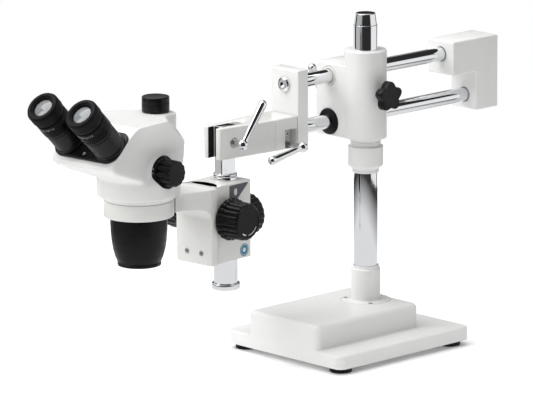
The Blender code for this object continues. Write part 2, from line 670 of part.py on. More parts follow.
def build_focus_slide(parent):
    front, plate, rear = SLIDE_Y
    low, high = SLIDE_Z
    tongue = CHANNEL_HALF - SLIP
    groove = RACK_HALF + SLIP
    back = CHANNEL_Y - SLIP
    collar = HOLDER_HALF_X - 0.5
    right = [(groove, RACK_BED_Y), (groove, back), (tongue, back), (tongue, rear), (collar, rear),
             (collar, plate), (SLIDE_HALF_X, plate), (SLIDE_HALF_X, front + 2.0),
             (SLIDE_HALF_X - 0.6, front + 0.6), (SLIDE_HALF_X - 2.0, front)]
    slide = place("focus_slide", prism(both_sides(right), low, high), "painted_white", parent)
    screw_x, screw_z = BRACKET_SCREWS
    for name, side in (("left", -1), ("right", 1)):
        hole = turned([(3.6, -front - 8.0), (3.6, -front + 4.0)], 16)
        spot = (side * screw_x, 0.0, screw_z)
        cut(slide, name + "_screw_hole", hole, spot, (90.0, 0.0, 0.0))
        profile = [(3.2, -front - 6.0), (3.2, -front - 0.6), (2.7, -front - 0.2)]
        smooth(place("bracket_screw_" + name, turned(profile, 16), "steel", parent, spot, (90.0, 0.0, 0.0)))
    smooth(slide)


def build_rack(parent):
    """Rack on the slide's tongue, in mesh with the pinion."""
    pitch = math.pi * MODULE
    line = PINION_Y - MODULE * PINION_TEETH / 2
    tip, root = line + ADDENDUM, line - 1.2 * ADDENDUM
    bed = RACK_BED_Y + SLIP
    low = SLIDE_Z[0] + 2.0 - PINION_Z
    high = SLIDE_Z[1] - 2.0 - PINION_Z
    outline = [(bed, low), (root, low)]
    first = math.ceil((low + pitch) / pitch)
    last = math.floor((high - pitch) / pitch)
    for tooth in range(first, last):
        centre = (tooth + 0.5) * pitch
        outline += [(root, centre - 0.95), (tip, centre - 0.40)]
        outline += [(tip, centre + 0.40), (root, centre + 0.95)]
    outline += [(root, high), (bed, high)]
    half = RACK_HALF - 0.5
    bm = loft(bmesh.new(), [[(x, y, z) for y, z in outline] for x in (-half, half)])
    place("focus_rack", bm, "brass", parent, (0.0, 0.0, PINION_Z))


def arm_floor(reach, length):
    """Height of the arm's underside at this distance from the slide, with the fillet at its root."""
    slope = (RING_Z[0] + 0.5 - ARM_PLATE_BOTTOM) / length
    drop = max(0.0, ARM_FILLET - reach)
    return ARM_PLATE_BOTTOM + slope * reach - ARM_FILLET + math.sqrt(ARM_FILLET ** 2 - drop ** 2)


def build_ring_arm(parent):
    """Ring that carries the head, with the arm that joins it to the focus slide."""
    low, high = RING_Z
    inner, outer = RING_RADII
    arm_top = SLIDE_Z[1]
    start = SLIDE_Y[0] - SLIP
    edge = 0.8
    profile = [(inner, low), (outer - edge, low), (outer, low + edge), (outer, high - edge),
               (outer - edge, high), (inner, high)]
    ring = turned(profile, 36, hollow=True)
    ring = place("ring_arm", ring, "painted_white", parent, (0.0, HEAD_Y, 0.0))
    length = start - (HEAD_Y + 0.90 * inner + 5.0)
    round_over = 2.0
    sections = []
    for reach in (0.0, 0.9, 3.5, 7.0, ARM_FILLET, length / 2, 0.75 * length, length):
        half = SLIDE_HALF_X - 8.5 * math.sin(reach / length * math.pi / 2)
        floor = arm_floor(reach, length)
        y = start - reach
        sections.append([(half, y, floor + round_over), (half, y, arm_top - round_over),
                         (half - round_over, y, arm_top), (round_over - half, y, arm_top),
                         (-half, y, arm_top - round_over), (-half, y, floor + round_over),
                         (round_over - half, y, floor), (half - round_over, y, floor)])
    cut(ring, "arm", loft(bmesh.new(), sections), operation="UNION")
    cut(ring, "ring_bore", turned([(inner, low - 9.0), (inner, high + 9.0)], 36), (0.0, HEAD_Y, 0.0))
    spot, aim = (0.0, HEAD_Y, (low + high) / 2), (0.0, 90.0, RING_SCREW_AIM)
    cut(ring, "clamp_hole", turned([(3.4, inner - 4.0), (3.4, outer + 4.0)], 16), spot, aim)
    smooth(ring)
    start = outer + 2.5
    profile = [(3.0, inner + SLIP), (3.0, start), (7.5, start), (8.2, start + 1.0), (8.2, start + 8.5),
               (7.2, start + 9.5)]
    smooth(place("ring_clamp_screw", turned(profile, 20), "black_metal", parent, spot, aim))


# ---------------------------------------------------------------- head

def head_section(z, half_x, front, back, front_corner, back_corner):
    """Rounded outline of the head at one height, with its own front and back corners."""
    points = []
    steps = 5
    corners = ((1, back, back_corner, 0), (-1, back, back_corner, 90), (-1, front, front_corner, 180),
               (1, front, front_corner, 270))
    for side, edge, corner, start in corners:
        inset = -corner if edge == back else corner
        for i in range(steps + 1):
            angle = math.radians(start + 90 * i / steps)
            points.append((side * (half_x - corner) + corner * math.cos(angle),
                           edge + inset + corner * math.sin(angle), z))
    return points


def round_section(radius, z):
    """Round section with the same number of points as the head sections."""
    return head_section(z, radius, -radius, radius, radius * 0.9999, radius * 0.9999)


def dish_solid():
    """Ellipsoid that hollows the head's side; its own Z axis is laid across the head."""
    degrees = (4, 12, 21, 31, 42, 90)
    dish = turned([(math.sin(math.radians(a)), -math.cos(math.radians(a))) for a in degrees], 28)
    across, along, upright = DISH_RADII
    bmesh.ops.scale(dish, vec=(upright, along, across), verts=dish.verts)
    return dish


def fall_solid(side):
    """What is cut from the head's rear corner: all above a slope that falls away beside the port's boss."""
    arc_y, radius = BOSS_ARC
    outline = [(BOSS_HALF_X, -10.0), (80.0, -10.0), (80.0, 80.0), (-0.5, 80.0)]
    end = math.degrees(math.acos(BOSS_HALF_X / radius))
    for step in range(6):
        turn = math.radians(90.5 + (end - 90.5) * step / 5)
        outline.append((radius * math.cos(turn), arc_y + radius * math.sin(turn)))
    aim = math.radians(FALL_AIM)
    floor, roof = [], []
    for x, y in outline:
        reach = (x - FALL_START[0]) * math.cos(aim) + (y - FALL_START[1]) * math.sin(aim)
        floor.append((side * x, y, HOUSING_TOP - FALL_SLOPE * reach))
        roof.append((side * x, y, HOUSING_TOP + 60.0))
    return loft(bmesh.new(), [floor, roof])


def build_housing(parent):
    spot = (0.0, HEAD_Y, 0.0)
    axis = (0.0, HEAD_Y, ZOOM_Z)
    ring_top = RING_Z[1] + 0.6
    barrel = BARREL_RADIUS
    slope = -PLATE_PLANE
    neck = [(HOUSING_NECK, RING_Z[0] + 0.5), (HOUSING_NECK, ring_top), (RING_RADII[1], ring_top),
            (RING_RADII[1], 260.5), (barrel - 1.5, 261.0), (barrel, 263.0), (barrel, 284.0), (49.0, 291.5),
            (40.0, 294.0)]
    sections = [round_section(barrel - 2.0, 270.0), round_section(barrel - 0.1, 287.0),
                head_section(294.0, 56.0, -66.0, 56.0, 44.0, 55.0),
                head_section(303.0, 57.5, -90.0, 57.0, 32.0, 55.0),
                head_section(310.0, 58.5, -105.0, 57.5, 22.0, 55.0),
                head_section(318.0, 59.3, 318.0 + slope, 57.5, 14.0, 55.0),
                head_section(326.0, 59.5, 326.0 + slope, 57.5, 7.0, 55.0),
                head_section(356.0, 59.5, 356.0 + slope, 57.5, 6.0, 55.0),
                head_section(HOUSING_TOP - 2.0, 58.5, -65.0, 57.0, 5.0, 54.0),
                head_section(HOUSING_TOP, 56.0, -61.0, 55.0, 4.0, 52.0)]
    housing = place("head_housing", loft(bmesh.new(), sections), "painted_white", parent, spot)
    for name, side in (("right", 1), ("left", -1)):
        centre = (side * DISH_CENTRE[0], HEAD_Y + DISH_CENTRE[1], DISH_CENTRE[2])
        cut(housing, name + "_dish", dish_solid(), centre, along_x(90.0 * side))
        cut(housing, name + "_fall", fall_solid(side), spot)
        rim_radius, rim_x = SEAT_RIM
        rim = turned([(rim_radius, 30.0), (rim_radius, rim_x - 0.6), (rim_radius - 0.6, rim_x)], 28)
        cut(housing, name + "_seat_rim", rim, axis, along_x(90.0 * side), "UNION")
    cut(housing, "barrel", turned(neck, 36), spot, operation="UNION")
    bed = slope + math.sqrt(2.0) * WALL
    hollow = [round_section(31.0, RING_Z[0] - 3.0), round_section(31.0, 264.0), round_section(35.5, 268.0),
              round_section(35.5, 292.0),
              head_section(312.0, 35.5, -92.0, 46.0, 16.0, 34.0),
              head_section(325.0, 35.5, 325.0 + bed, 44.0, 14.0, 34.0),
              head_section(340.0, 35.5, 340.0 + bed, 34.0, 13.0, 34.0),
              head_section(354.0, 35.5, 354.0 + bed, 20.0, 12.0, 34.0),
              head_section(HOUSING_TOP - WALL, 34.0, -58.0, 12.0, 10.0, 32.0)]
    cut(housing, "inside", loft(bmesh.new(), hollow), spot)
    port_room = rounded_rect(BOSS_HALF_X - 5.0, 26.0, 12.0, 2, (0.0, 18.0))
    cut(housing, "port_room", prism(port_room, 300.0, HOUSING_TOP - WALL), spot)
    for name, side in (("right", 1), ("left", -1)):
        seat = turned([(ZOOM_SEAT_RADIUS, ZOOM_KNOB_X[0] - 0.6), (ZOOM_SEAT_RADIUS, 80.0)], 32)
        cut(housing, name + "_knob_seat", seat, axis, along_x(90.0 * side))
        hole = turned([(ZOOM_SHAFT_RADIUS + SLIP, 30.0), (ZOOM_SHAFT_RADIUS + SLIP, 62.0)], 20)
        cut(housing, name + "_zoom_hole", hole, axis, along_x(90.0 * side))
    window = prism(rounded_rect(38.0, 15.0, 8.0, 4), -15.0, 6.0)
    cut(housing, "eyepiece_window", window, (0.0, *plate_point(EYE_REACH)), (45.0, 0.0, 0.0))
    cut(housing, "port_hole", turned([(PORT_RADIUS - 4.0, -12.0), (PORT_RADIUS - 4.0, 6.0)], 32),
        (0.0, HEAD_Y + PORT_Y, HOUSING_TOP))
    smooth(housing, 30.0)


def plate_point(reach, lift=0.0):
    """Point at this distance up the eyepiece plate's plane, lifted off it by lift."""
    base = (reach * math.sqrt(2.0) - PLATE_PLANE) / 2
    half = lift / math.sqrt(2.0)
    return (HEAD_Y + base - half, base + PLATE_PLANE + half)


def build_faceplate(parent):
    low, high = PLATE_REACH
    middle = (low + high) / 2
    half_y = (high - low) / 2
    outline = []
    corners = ((1, 1, 13.0, 0), (-1, 1, 13.0, 90), (-1, -1, 19.0, 180), (1, -1, 19.0, 270))
    for sx, sy, corner, start in corners:
        for i in range(7):
            angle = math.radians(start + 90 * i / 6)
            outline.append((sx * (PLATE_HALF_X - corner) + corner * math.cos(angle),
                            sy * (half_y - corner) + corner * math.sin(angle)))
    plate = place("faceplate", prism(outline, SLIP, PLATE_THICKNESS), "black_plastic", parent,
                  (0.0, *plate_point(middle)), (45.0, 0.0, 0.0))
    bevelled(plate, 0.8, 2)
    for name, side in (("right", 1), ("left", -1)):
        hole = turned([(15.5, -3.0), (15.5, 8.0)], 32)
        seat = (side * EYE_HALF_SPACING, *plate_point(EYE_REACH))
        cut(plate, name + "_opening", hole, seat, (45.0, 0.0, 0.0))
    smooth(plate)


def build_eyepieces(parent):
    start, flange, tube, ring_low, ring_high, cup_low, rim = EYE_STATIONS
    for name, side in (("right", 1), ("left", -1)):
        spot = (side * EYE_HALF_SPACING, *plate_point(EYE_REACH, PLATE_THICKNESS))
        seat = frame("eyepiece_seat_" + name, spot, (45.0, 0.0, 0.0), parent)
        profile = [(14.6, start), (EYE_FLANGE, start), (EYE_FLANGE, flange - 1.0),
                   (EYE_FLANGE - 1.0, flange), (TUBE_RADIUS, flange), (TUBE_RADIUS, tube), (14.6, tube)]
        smooth(place("eyetube_" + name, turned(profile, 28, hollow=True), "black_metal", seat))
        bore = 14.2
        inner, ribs = bore + SLIP, 16
        grip = [circle(inner, ring_low, 3 * ribs), lobed(22.4, 0.7, ribs, ring_low),
                lobed(22.4, 0.7, ribs, ring_high), circle(inner, ring_high, 3 * ribs)]
        ring = loft(bmesh.new(), grip, close_ends=False)
        smooth(place("diopter_ring_" + name, ring, "black_metal", seat), 28.0)
        profile = [(11.0, tube - 14.0), (bore, tube - 14.0), (bore, cup_low), (22.0, cup_low),
                   (22.7, cup_low + 1.5), (22.7, rim - 5.0), (20.8, rim), (14.4, rim), (12.6, rim - 9.0),
                   (11.0, rim - 9.0)]
        smooth(place("eyepiece_" + name, turned(profile, 28, hollow=True), "black_rubber", seat))
        lens = [(10.7, rim - 14.6), (10.7, rim - 11.2), (7.0, rim - 10.0)]
        smooth(place("eye_lens_" + name, turned(lens, 24), "glass", seat), 60.0)


def build_objective(parent):
    top = RING_Z[0] - SLIP
    outer = [(37.7, top), (37.4, 220.0), (35.9, 199.5), (34.0, 187.0), (31.4, 178.5), (28.6, 172.4),
             (28.2, 171.6), (27.8, 167.0)]
    inner = [(24.0, 167.0), (24.0, 177.0), (31.0, 190.0), (34.0, 210.0), (34.0, top)]
    shell = turned(outer + inner, 28, hollow=True)
    smooth(place("objective_shell", shell, "black_plastic", parent, (0.0, HEAD_Y, 0.0)))
    lens = [(20.0, 169.4), (23.7, 170.6), (23.7, 175.0), (15.0, 177.4)]
    smooth(place("objective_lens", turned(lens, 24), "glass", parent, (0.0, HEAD_Y, 0.0)), 60.0)


def build_zoom(parent):
    axis = (0.0, HEAD_Y, ZOOM_Z)
    end = ZOOM_KNOB_X[0] + 7.0
    profile = [(ZOOM_SHAFT_RADIUS, -end), (ZOOM_SHAFT_RADIUS, end)]
    smooth(place("zoom_shaft", turned(profile, 24), "steel", parent, axis, along_x()))
    low, high = ZOOM_KNOB_X
    profile = [(18.9, low, False), (19.6, low + 1.0, False), (19.4, low + 7.0, False),
               (17.8, low + 8.0, True), (17.3, high - 1.5, True), (16.2, high, True)]
    bore = ZOOM_SHAFT_RADIUS + SLIP
    for name, side in (("zoom_knob_right", 1), ("zoom_knob_left", -1)):
        lay = along_x(90.0 * side)
        knob = ribbed_knob(name, parent, "black_plastic", profile, 12, 1.4, axis, lay)
        cut(knob, "shaft_hole", turned([(bore, low - 2.0), (bore, low + 7.4)], 20), axis, lay)

    body = prism(rounded_rect(25.5, 12.0, 11.9, 6), 238.0, 289.0)
    body = place("zoom_body", body, "black_metal", parent, (0.0, HEAD_Y, 0.0))
    for name, side in (("right", 1), ("left", -1)):
        bore = turned([(9.0, 230.0), (9.0, 295.0)], 24)
        cut(body, name + "_bore", bore, (side * 13.5, HEAD_Y, 0.0))
    smooth(body)
    outline = both_sides([(4.0, -34.0), (4.0, -18.0), (33.0, -18.0), (33.0, -46.0)])
    place("prism_block", prism(outline, 318.0, 340.0), "glass", parent, (0.0, HEAD_Y, 0.0))


def build_photo_port(parent):
    axis = (0.0, HEAD_Y + PORT_Y, HOUSING_TOP)
    bore, top = PORT_RADIUS - 3.0, 14.0
    profile = [(bore, SLIP), (PORT_RADIUS, SLIP), (PORT_RADIUS, top - 1.0), (PORT_RADIUS - 0.8, top),
               (bore, top)]
    smooth(place("photo_port", turned(profile, 28, hollow=True), "chrome", parent, axis))
    low, high = (z - HOUSING_TOP for z in PORT_CAP_Z)
    inner = PORT_RADIUS + SLIP
    profile = [(CAP_RADIUS - 0.8, low), (CAP_RADIUS, low + 0.8), (CAP_RADIUS, high - 2.4),
               (CAP_RADIUS - 0.6, high - 1.0), (CAP_RADIUS - 2.0, high)]
    cap = place("port_cap", turned(profile, 32), "black_plastic", parent, axis)
    cut(cap, "inside", turned([(inner, low - 2.0), (inner, high - 3.0)], 24), axis)
    smooth(cap)


def build():
    clear_scene()
    stand = frame("stand", (*COLUMN_POS, 0.0))
    build_base(stand)
    build_feet(stand)
    build_column(stand)
    build_stop_collar(stand)
    build_carriage(stand)
    build_star_knob(stand)
    lever_parts("boom_lock", stand, BOOM_LEVER_YZ, SLAB_OUTER_X, SLAB_OUTER_X - 14.0, 24.5, 49.5, -1)
    build_boom(stand)
    build_front_arm(stand)
    lever_parts("arm_lock", stand, ARM_LEVER_YZ, -31.0, 6.0, 100.0, 63.0)
    lever_parts("tilt", stand, (POST_POS[1], TILT_Z), ROD_X + FORK_HALF_WIDTH, -9.5, -36.5, 67.0,
                through=ROD_X - FORK_CHEEK)
    build_post(stand)
    head = frame("hanging_head", (*POST_POS, 0.0), (0.0, 0.0, HEAD_YAW), stand)
    build_holder(head)
    build_focus_drive(head)
    build_focus_slide(head)
    build_rack(head)
    build_ring_arm(head)
    build_housing(head)
    build_faceplate(head)
    build_eyepieces(head)
    build_objective(head)
    build_zoom(head)
    build_photo_port(head)


build()
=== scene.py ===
import json
import math

import bmesh
import bpy
from mathutils import Matrix, Vector


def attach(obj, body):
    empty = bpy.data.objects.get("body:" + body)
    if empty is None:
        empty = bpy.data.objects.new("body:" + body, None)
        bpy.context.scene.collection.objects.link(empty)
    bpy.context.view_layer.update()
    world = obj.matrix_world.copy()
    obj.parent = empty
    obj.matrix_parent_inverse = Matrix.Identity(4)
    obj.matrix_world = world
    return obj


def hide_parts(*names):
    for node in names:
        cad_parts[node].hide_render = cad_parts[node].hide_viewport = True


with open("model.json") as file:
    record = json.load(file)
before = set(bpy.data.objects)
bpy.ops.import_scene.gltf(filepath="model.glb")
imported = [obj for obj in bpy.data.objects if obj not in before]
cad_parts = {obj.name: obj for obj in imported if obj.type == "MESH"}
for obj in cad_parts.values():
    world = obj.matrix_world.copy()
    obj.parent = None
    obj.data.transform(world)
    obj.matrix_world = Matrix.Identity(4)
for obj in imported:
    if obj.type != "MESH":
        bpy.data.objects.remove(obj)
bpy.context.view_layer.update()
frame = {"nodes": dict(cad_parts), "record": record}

# Lengths are in millimetres and become metres as each piece is made.
MM = 0.001


def spun(degrees, axis):
    return Matrix.Rotation(math.radians(degrees), 4, axis)


# The stand is described from the column axis, the hanging head from the focus post axis.
STAND = Matrix.Translation((0.0, 134.0, 0.0))
POST_POS = (-44.0, -218.6)
HEAD_YAW = 4.5
HANGING = STAND @ Matrix.Translation((*POST_POS, 0.0)) @ spun(HEAD_YAW, "Z")
HEAD_Y = -167.5
HEAD = HANGING @ Matrix.Translation((0.0, HEAD_Y, 0.0))

# Base and column
BASE_SIZE = (222.6, 247.2)
BASE_CENTRE_Y = -33.8
BASE_CORNER = 12.0
FOOT_HEIGHT = 7.4
FOOT_INSET = 20.5
FOOT_RADIUS = 15.0
PLATE_TOP = 26.0
PLINTH_WIDTH = 134.2
PLINTH_REAR_Y = 35.2
PLINTH_TOP = 59.7
COLUMN_RADIUS = 16.0
COLUMN_TOP = 438.0
CAP_TOP = 454.0
FLANGE_RADIUS = 33.7
FLANGE_TOP = 60.1
SLEEVE_RADIUS = 20.0
COLLAR_SCREW_Z = 262.5
COLLAR_SCREW_AIM = 104.0

# Boom
CARRIAGE_Z = (284.0, 404.5)
CARRIAGE_RADIUS = 28.5
SLAB_OUTER_X = -70.0
SLAB_HALF_Y = 26.5
SLAB_TOP = 383.0
ROD_X = -44.0
ROD_RADIUS = 9.55
UPPER_ROD_Z = 365.9
LOWER_ROD_Z = 303.0
STAR_Z = 346.0
FRONT_BLOCK_Y = (-108.7, -89.6)
WEIGHT_REAR_Y = 277.4
ROD_REAR_Y = WEIGHT_REAR_Y - 12.0
ARM_Z = (283.5, 326.0)
TILT_Z = 304.5

# Focus mount and head
PINION_AXIS = (0.0, -29.0, 209.0)
SLIDE_FRONT = -62.0
PLATE_PLANE = 428.0
PLATE_LIFT = 3.7
EYE_HALF_SPACING = 34.5
EYE_REACH = 178.5
ZOOM_Z = 297.0
PORT_Y = 33.8
HOUSING_TOP = 365.0

# Running clearance between neighbouring parts, and the holes for studs and shafts
GAP = 0.3
STUD_HOLE = 4.3
FOCUS_SHAFT_HOLE = 5.3
ZOOM_SHAFT_HOLE = 4.3

WHITE = (0.80, 0.80, 0.79)


# ---------------------------------------------------------------- finishes

class Graph:
    """A node tree written as calls: an input takes a plain value or another node's output."""

    def __init__(self, owner):
        owner.use_nodes = True
        self.tree = owner.node_tree

    def feed(self, node, ports=(), **inputs):
        """Fill inputs by name, or as (number, value) ports where two share a name."""
        for key, value in (*ports, *inputs.items()):
            socket = node.inputs[key.replace("_", " ") if isinstance(key, str) else key]
            if isinstance(value, bpy.types.NodeSocket):
                self.tree.links.new(value, socket)
            else:
                socket.default_value = value

    def node(self, kind, settings=(), ports=(), **inputs):
        made = self.tree.nodes.new("ShaderNode" + kind)
        for key, value in settings:
            setattr(made, key, value)
        self.feed(made, ports, **inputs)
        return made

    def spread(self, value, low, high, start=0.3, end=0.7):
        """Map the useful range of a value to low..high."""
        made = self.node("MapRange", Value=value, From_Min=start, From_Max=end, To_Min=low, To_Max=high)
        return made.outputs["Result"]

    def ramp(self, value, stops):
        """Colours by a value, through a ramp of (position, colour) stops."""
        made = self.node("ValToRGB", Fac=value)
        elements = made.color_ramp.elements
        while len(elements) < len(stops):
            elements.new(0.5)
        for element, (position, colour) in zip(elements, stops):
            element.position = position
            element.color = (*colour, 1.0)
        return made.outputs["Color"]

    def mixed(self, share, a, b, blend="MIX"):
        made = self.node("Mix", (("data_type", "RGBA"), ("blend_type", blend)), Factor=share, A=a, B=b)
        return made.outputs["Result"]


class Finish(Graph):
    """A node material that is built up step by step round one Principled shader."""

    def __init__(self, name, **sockets):
        self.material = bpy.data.materials.new(name)
        super().__init__(self.material)
        self.shader = self.tree.nodes["Principled BSDF"]
        self.feed(self.shader, **sockets)
        self.place = self.node("TexCoord").outputs["Object"]

    def stretched(self, scale):
        """The object's own coordinates, squeezed differently along each axis."""
        return self.node("Mapping", Scale=scale, Vector=self.place).outputs["Vector"]

    def noise(self, scale, detail=3.0, roughness=0.5, where=None):
        made = self.node("TexNoise", Scale=scale, Detail=detail, Roughness=roughness,
                         Vector=where or self.place)
        return made.outputs["Fac"]

    def cells(self, scale):
        return self.node("TexVoronoi", Scale=scale, Vector=self.place).outputs["Distance"]

    def tinted(self, value, colour, dim, bright, start=0.3, end=0.7):
        """Two shades of one colour, by a texture's value."""
        return self.ramp(value, ((start, shade(colour, dim)), (end, shade(colour, bright))))

    def with_painted_shade(self, colour, reach, depth):
        """Painted shade: darken the colour in corners and seams, where ambient occlusion finds them."""
        crevice = self.node("AmbientOcclusion", (("samples", 6),), Distance=reach)
        painted_shade = self.spread(crevice.outputs["AO"], depth, 1.0, 0.15, 0.75)
        return self.mixed(1.0, colour, painted_shade, "MULTIPLY")

    def finished(self, colour, roughness, *bumps):
        """Connect the colour, the roughness and bumps of (height texture, strength, distance in metres)."""
        self.feed(self.shader, Base_Color=colour, Roughness=roughness)
        normal = None
        for height, strength, distance in bumps:
            made = self.node("Bump", Height=height, Strength=strength, Distance=distance)
            if normal:
                self.feed(made, Normal=normal)
            normal = made.outputs["Normal"]
        if normal:
            self.feed(self.shader, Normal=normal)
        return self.material


def shade(colour, factor):
    return tuple(min(1.0, channel * factor) for channel in colour)


def painted(name, colour, roughness, grain, gloss):
    """Sprayed enamel: faint cloudiness, orange peel and painted shade in the seams."""
    made = Finish(name, Coat_Weight=gloss, Coat_Roughness=0.12, IOR=1.5)
    tone = made.tinted(made.noise(14.0, 4.0, 0.6), colour, 0.965, 1.02, 0.25, 0.75)
    sheen = made.spread(made.noise(90.0, 3.0), roughness - 0.06, roughness + 0.08)
    waves, peel = made.noise(60.0, 2.0), made.noise(520.0, 2.0, 0.4)
    # Painted shade: the colour darkens in corners and seams by ambient occlusion.
    return made.finished(made.with_painted_shade(tone, 0.004, 0.72), sheen, (waves, 0.05, 0.0005),
                         (peel, grain, 0.00012))


def cast(name, colour):
    """Painted iron casting: soft waves of the casting under a thicker, grainier paint."""
    made = Finish(name, Coat_Weight=0.25, Coat_Roughness=0.2, IOR=1.5)
    tone = made.tinted(made.noise(9.0, 5.0, 0.6), colour, 0.96, 1.02, 0.2, 0.8)
    sheen = made.spread(made.noise(120.0, 4.0), 0.32, 0.50)
    # Painted shade: the colour darkens in corners and seams by ambient occlusion.
    return made.finished(made.with_painted_shade(tone, 0.005, 0.74), sheen, (made.noise(25.0, 2.0), 0.10, 0.0008),
                         (made.cells(650.0), 0.16, 0.00012), (made.noise(1300.0, 2.0), 0.10, 0.0001))


def plated(name, colour, roughness):
    """Bright chrome with hairline rubs and a trace of fingerprints."""
    made = Finish(name, Metallic=1.0)
    haze, smear = made.noise(22.0, 4.0, 0.6), made.noise(60.0, 5.0, 0.65)
    rubs = made.noise(160.0, 3.0, 0.5, made.stretched((6.0, 6.0, 0.4)))
    return made.finished(made.tinted(haze, colour, 0.96, 1.0),
                         made.spread(smear, roughness * 0.6, roughness * 1.7), (rubs, 0.03, 0.00005))


def machined(name, colour, roughness):
    """Turned or milled metal with fine tool lines."""
    made = Finish(name, Metallic=1.0)
    lines = made.noise(240.0, 4.0, 0.6, made.stretched((1.0, 1.0, 9.0)))
    return made.finished(made.tinted(lines, colour, 0.85, 1.08),
                         made.spread(lines, roughness - 0.08, roughness + 0.12), (lines, 0.12, 0.00006))


def anodised(name, colour):
    """Black anodised aluminium, satin, with the lathe's lines just showing."""
    made = Finish(name, Specular_IOR_Level=0.32)
    return made.finished(made.tinted(made.noise(35.0, 4.0), colour, 0.8, 1.25),
                         made.spread(made.noise(150.0, 3.0), 0.27, 0.42),
                         (made.noise(900.0, 2.0), 0.10, 0.00008))


def moulded(name, colour, roughness, grain=0.22, size=900.0):
    """Moulded plastic with the tool's fine spark-eroded grain, worn a little smoother in places."""
    made = Finish(name, Specular_IOR_Level=0.22)
    tone = made.tinted(made.noise(28.0, 4.0, 0.6), colour, 0.8, 1.3, 0.25, 0.75)
    sheen = made.spread(made.noise(70.0, 4.0), roughness - 0.09, roughness + 0.10)
    return made.finished(tone, sheen, (made.cells(size), grain, 0.00010),
                         (made.noise(size * 2.2, 2.0), grain * 0.6, 0.00006))


def rubbery(name, colour):
    """Matt rubber with a dusty bloom."""
    made = Finish(name, Specular_IOR_Level=0.16, Sheen_Weight=0.02, Sheen_Roughness=0.5)
    return made.finished(made.tinted(made.noise(45.0, 5.0, 0.7), colour, 0.8, 1.7, 0.3, 0.8),
                         made.spread(made.noise(110.0, 4.0), 0.55, 0.75),
                         (made.noise(1500.0, 3.0, 0.6), 0.22, 0.00010))


def lens(name, tint, clear=1.0):
    """Coated optical glass with a little dust."""
    made = Finish(name, Transmission_Weight=clear, IOR=1.55, Coat_Weight=0.5, Coat_Roughness=0.02)
    dust = made.noise(400.0, 4.0, 0.7)
    return made.finished(made.tinted(dust, tint, 1.0, 0.93, 0.3, 0.75),
                         made.spread(dust, 0.0, 0.06, 0.5, 0.8))


def printed(name, colour, roughness=0.4):
    """Screen-printed marks and plain labels."""
    made = Finish(name)
    ink = made.noise(900.0, 3.0)
    return made.finished(made.tinted(ink, colour, 0.9, 1.0),
                         made.spread(ink, roughness - 0.05, roughness + 0.08))


FINISHES = {
    "painted_white": painted("white enamel", WHITE, 0.34, 0.10, 0.30),
    "warm_white": painted("warm white enamel", (0.74, 0.735, 0.715), 0.36, 0.10, 0.30),
    "cast_white": cast("painted casting", WHITE),
    "chrome": plated("chrome plate", (0.83, 0.84, 0.86), 0.045),
    "steel": machined("machined steel", (0.52, 0.52, 0.53), 0.30),
    "black_metal": anodised("black anodised", (0.005, 0.0045, 0.0055)),
    "black_plastic": moulded("black moulding", (0.0040, 0.0035, 0.0046), 0.34),
    "black_satin": moulded("black satin moulding", (0.0040, 0.0035, 0.0046), 0.28, 0.08),
    "black_rubber": rubbery("black rubber", (0.0045, 0.0040, 0.0050)),
    "brass": machined("brass", (0.70, 0.50, 0.22), 0.28),
    "nylon": moulded("natural nylon", (0.70, 0.69, 0.66), 0.42, 0.10),
    "glass": lens("coated glass", (0.90, 0.94, 0.97)),
    "eye_glass": lens("eyepiece glass", (0.30, 0.32, 0.33), 0.5),
    "print": printed("white print", (0.78, 0.79, 0.80)),
    "badge": printed("plain badge", (0.085, 0.09, 0.105)),
    "sticker": printed("plain sticker", (0.03, 0.22, 0.34)),
}


# ---------------------------------------------------------------- shape helpers

def rounded(points, radii, steps=6):
    """Round the corners of a closed polygon, each to its own radius."""
    if not isinstance(radii, (list, tuple)):
        radii = [radii] * len(points)
    result = []
    count = len(points)
    for i, radius in enumerate(radii):
        corner = Vector(points[i])
        before = Vector(points[i - 1]) - corner
        after = Vector(points[(i + 1) % count]) - corner
        angle = before.angle(after, math.pi)
        if radius <= 0.0 or angle > math.radians(178.0):
            result.append(tuple(corner))
            continue
        reach = radius / math.tan(angle / 2)
        reach = min(reach, 0.49 * before.length, 0.49 * after.length)
        start = corner + before.normalized() * reach
        end = corner + after.normalized() * reach
        bend = math.tan(angle / 2) * reach
        inward = (before.normalized() + after.normalized()).normalized()
        middle = corner + inward * (bend / math.sin(angle / 2))
        first, last = start - middle, end - middle
        sweep = first.angle(last)
        for k in range(steps + 1):
            part = k / steps
            weight = (math.sin((1.0 - part) * sweep), math.sin(part * sweep))
            result.append(tuple(middle + (first * weight[0] + last * weight[1]) / math.sin(sweep)))
    return result


def rectangle(half_x, half_y, centre=(0.0, 0.0)):
    x, y = centre
    return [(x + half_x, y + half_y), (x - half_x, y + half_y), (x - half_x, y - half_y),
            (x + half_x, y - half_y)]


def polar(radius, degrees):
    turn = math.radians(degrees)
    return radius * math.cos(turn), radius * math.sin(turn)


def quarter(radius, steps):
    """How far a rounded edge stands in, and how far it has risen, from its foot to its top."""
    return [(radius - x, radius - y) for x, y in (polar(radius, 90.0 * k / steps) for k in range(steps + 1))]


def upright(outline, low, high):
    """A plain prism."""
    return loft([[(x, y, z) for x, y in outline] for z in (low, high)])


def dome(radius, base, height, degrees):
    """Profile of a shallow cap, from its rim towards its middle."""
    return [(radius * math.cos(math.radians(a)), base + height * math.sin(math.radians(a))) for a in degrees]


def mirrored(right, radii):
    """Close and round an outline that is given for its right half only."""
    return rounded(right + [(-x, y) for x, y in reversed(right)], radii + radii[::-1], 5)


def grown(outline, amount):
    """Move an anticlockwise outline outwards along its corner normals."""
    result = []
    for i, point in enumerate(outline):
        before = Vector(point) - Vector(outline[i - 1])
        after = Vector(outline[(i + 1) % len(outline)]) - Vector(point)
        if before.length < 1e-9 or after.length < 1e-9:
            result.append(point)
            continue
        a = Vector((before.y, -before.x)).normalized()
        b = Vector((after.y, -after.x)).normalized()
        normal = (a + b).normalized()
        result.append(tuple(Vector(point) + normal * (amount / max(0.4, normal.dot(a)))))
    return result


